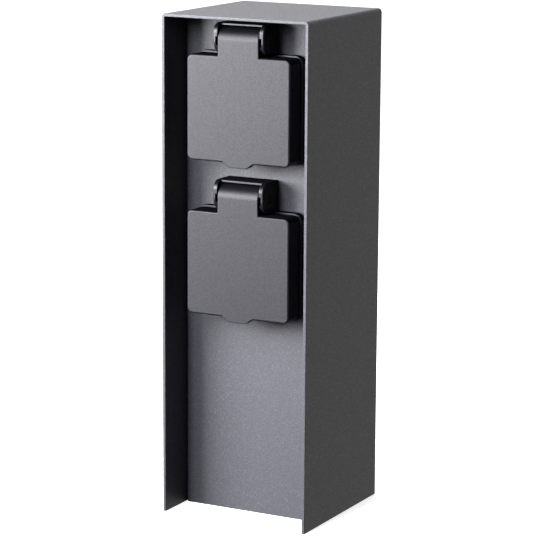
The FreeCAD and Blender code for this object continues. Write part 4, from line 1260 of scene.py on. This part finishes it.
@dataclass(frozen=True)
class Lamp:
    """A soft rectangular lamp of slightly cool light, in metres and watts."""

    name: str
    place: Point3
    aim: Point3
    size: Point2
    power: float
    mirrored: bool = True
    colour: Colour = (0.96, 0.96, 1.0)

    def hang(self) -> None:
        """Adds the lamp to the scene."""
        data = bpy.data.lights.new(self.name, "AREA")
        data.shape = "RECTANGLE"
        data.size, data.size_y = self.size
        data.energy = self.power
        data.color = self.colour
        lamp = bpy.data.objects.new(self.name, data)
        lamp.location = self.place
        way = Vector(self.aim) - Vector(self.place)
        lamp.rotation_mode = "QUATERNION"
        lamp.rotation_quaternion = way.to_track_quat("-Z", "Y")
        lamp.visible_camera = False
        lamp.visible_glossy = self.mirrored
        bpy.context.scene.collection.objects.link(lamp)


@dataclass(frozen=True)
class Glow:
    """A side from which the sky glows, strongest in its middle, with the height from which it fades in."""

    side: Point3
    strength: float
    low: float
    fade: float = 0.5

    def level(self, nodes: Nodes, way: Socket) -> Socket:
        """Adds the glow's nodes.

        Args:
            nodes: The sky's nodes.
            way: The direction that is looked at.

        Returns:
            The strength in that direction.
        """
        rise = nodes.facing((0.0, 0.0, 1.0), way)
        return nodes.calculate("MULTIPLY", nodes.blend(nodes.facing(self.side, way), 0.0, self.strength),
                               nodes.span(rise, 0.0, 1.0, self.low, self.low + self.fade))


@dataclass
class Studio:
    """A pale floor, soft lamps and the camera at the photograph's viewing angle.

    Places are in metres, angles in degrees, and the lens in millimetres.
    """

    floor_half: float = 6.0
    camera_place: Point3 = (0.5658, -1.0552, 0.3649)
    yaw: float = 28.24
    pitch: float = 11.53
    roll: float = 0.33
    lens: float = 163.2
    glows: tuple[Glow, ...] = (
        Glow((-1.0, 0.0, 0.0), 1.95, -0.5),
        Glow((0.0, 1.0, 0.0), 0.98, -2.0),
        Glow((0.0, -1.0, 0.0), 0.25, -0.5),
    )
    lamps: tuple[Lamp, ...] = (
        Lamp("key_lamp", (-0.560, -0.590, 0.325), (0.0, 0.0, 0.16), (0.58, 0.30), 29.8),
        Lamp("front_lamp", (-0.110, -0.765, 0.743), (0.0, 0.0, 0.14), (0.22, 0.75), 26.0, mirrored=False),
        Lamp("side_lamp", (-0.368, -0.911, 0.828), (0.0, 0.0, 0.14), (0.35, 0.60), 8.0),
    )

    def floor(self) -> None:
        """Lays the floor."""
        shape = bmesh.new()
        bmesh.ops.create_grid(shape, x_segments=12, y_segments=12, size=self.floor_half)
        mesh = bpy.data.meshes.new("studio_floor")
        shape.to_mesh(mesh)
        shape.free()
        mesh.materials.append(PAPER.material())
        floor = bpy.data.objects.new("studio_floor", mesh)
        bpy.context.scene.collection.objects.link(floor)
        floor.visible_diffuse = False
        floor.visible_glossy = False

    def light(self) -> None:
        """Hangs the lamps and sets a sky that glows from a few sides."""
        world = bpy.data.worlds.new("studio_sky")
        world.use_nodes = True
        nodes = Nodes(world.node_tree)
        way = nodes.add("ShaderNodeTexCoord").outputs["Generated"]
        total: Socket | float = 0.0
        for glow in self.glows:
            total = nodes.calculate("ADD", glow.level(nodes, way), total)
        sky = nodes.add("ShaderNodeBackground", in_Color=(1.0, 1.0, 1.0, 1.0))
        nodes.join(total, sky.inputs["Strength"])
        output = nodes.add("ShaderNodeOutputWorld")
        nodes.join(sky.outputs["Background"], output.inputs["Surface"])
        bpy.context.scene.world = world
        bpy.context.scene.view_settings.view_transform = "Standard"
        for lamp in self.lamps:
            lamp.hang()

    def camera(self) -> None:
        """Places the camera where the photograph was taken from."""
        yaw, pitch, roll = (math.radians(angle) for angle in (self.yaw, self.pitch, self.roll))
        ahead = Vector((-math.sin(yaw) * math.cos(pitch), math.cos(yaw) * math.cos(pitch), -math.sin(pitch)))
        right = Vector((math.cos(yaw), math.sin(yaw), 0.0))
        up = right.cross(ahead)
        turned_right = right * math.cos(roll) + up * math.sin(roll)
        turned_up = up * math.cos(roll) - right * math.sin(roll)
        turn = Matrix((turned_right, turned_up, -ahead)).transposed().to_4x4()
        data = bpy.data.cameras.new("photo_camera")
        data.lens = self.lens
        data.sensor_width = 36.0
        data.clip_start = 0.05
        data.clip_end = 50.0
        camera = bpy.data.objects.new("photo_camera", data)
        camera.matrix_world = Matrix.Translation(Vector(self.camera_place)) @ turn
        bpy.context.scene.collection.objects.link(camera)
        bpy.context.scene.camera = camera

    def set_up(self) -> None:
        """Makes floor, light and camera."""
        self.floor()
        self.light()
        self.camera()


def main() -> None:
    """Builds the studio, the shell and both outlets, and dresses what is carried over."""
    logging.basicConfig(level=logging.INFO, format="%(name)s %(message)s")
    Studio().set_up()
    Shell().build()
    for level in Level:
        Outlet(level).build()
    CarriedOver().dress()


if __name__ == "__main__":
    main()
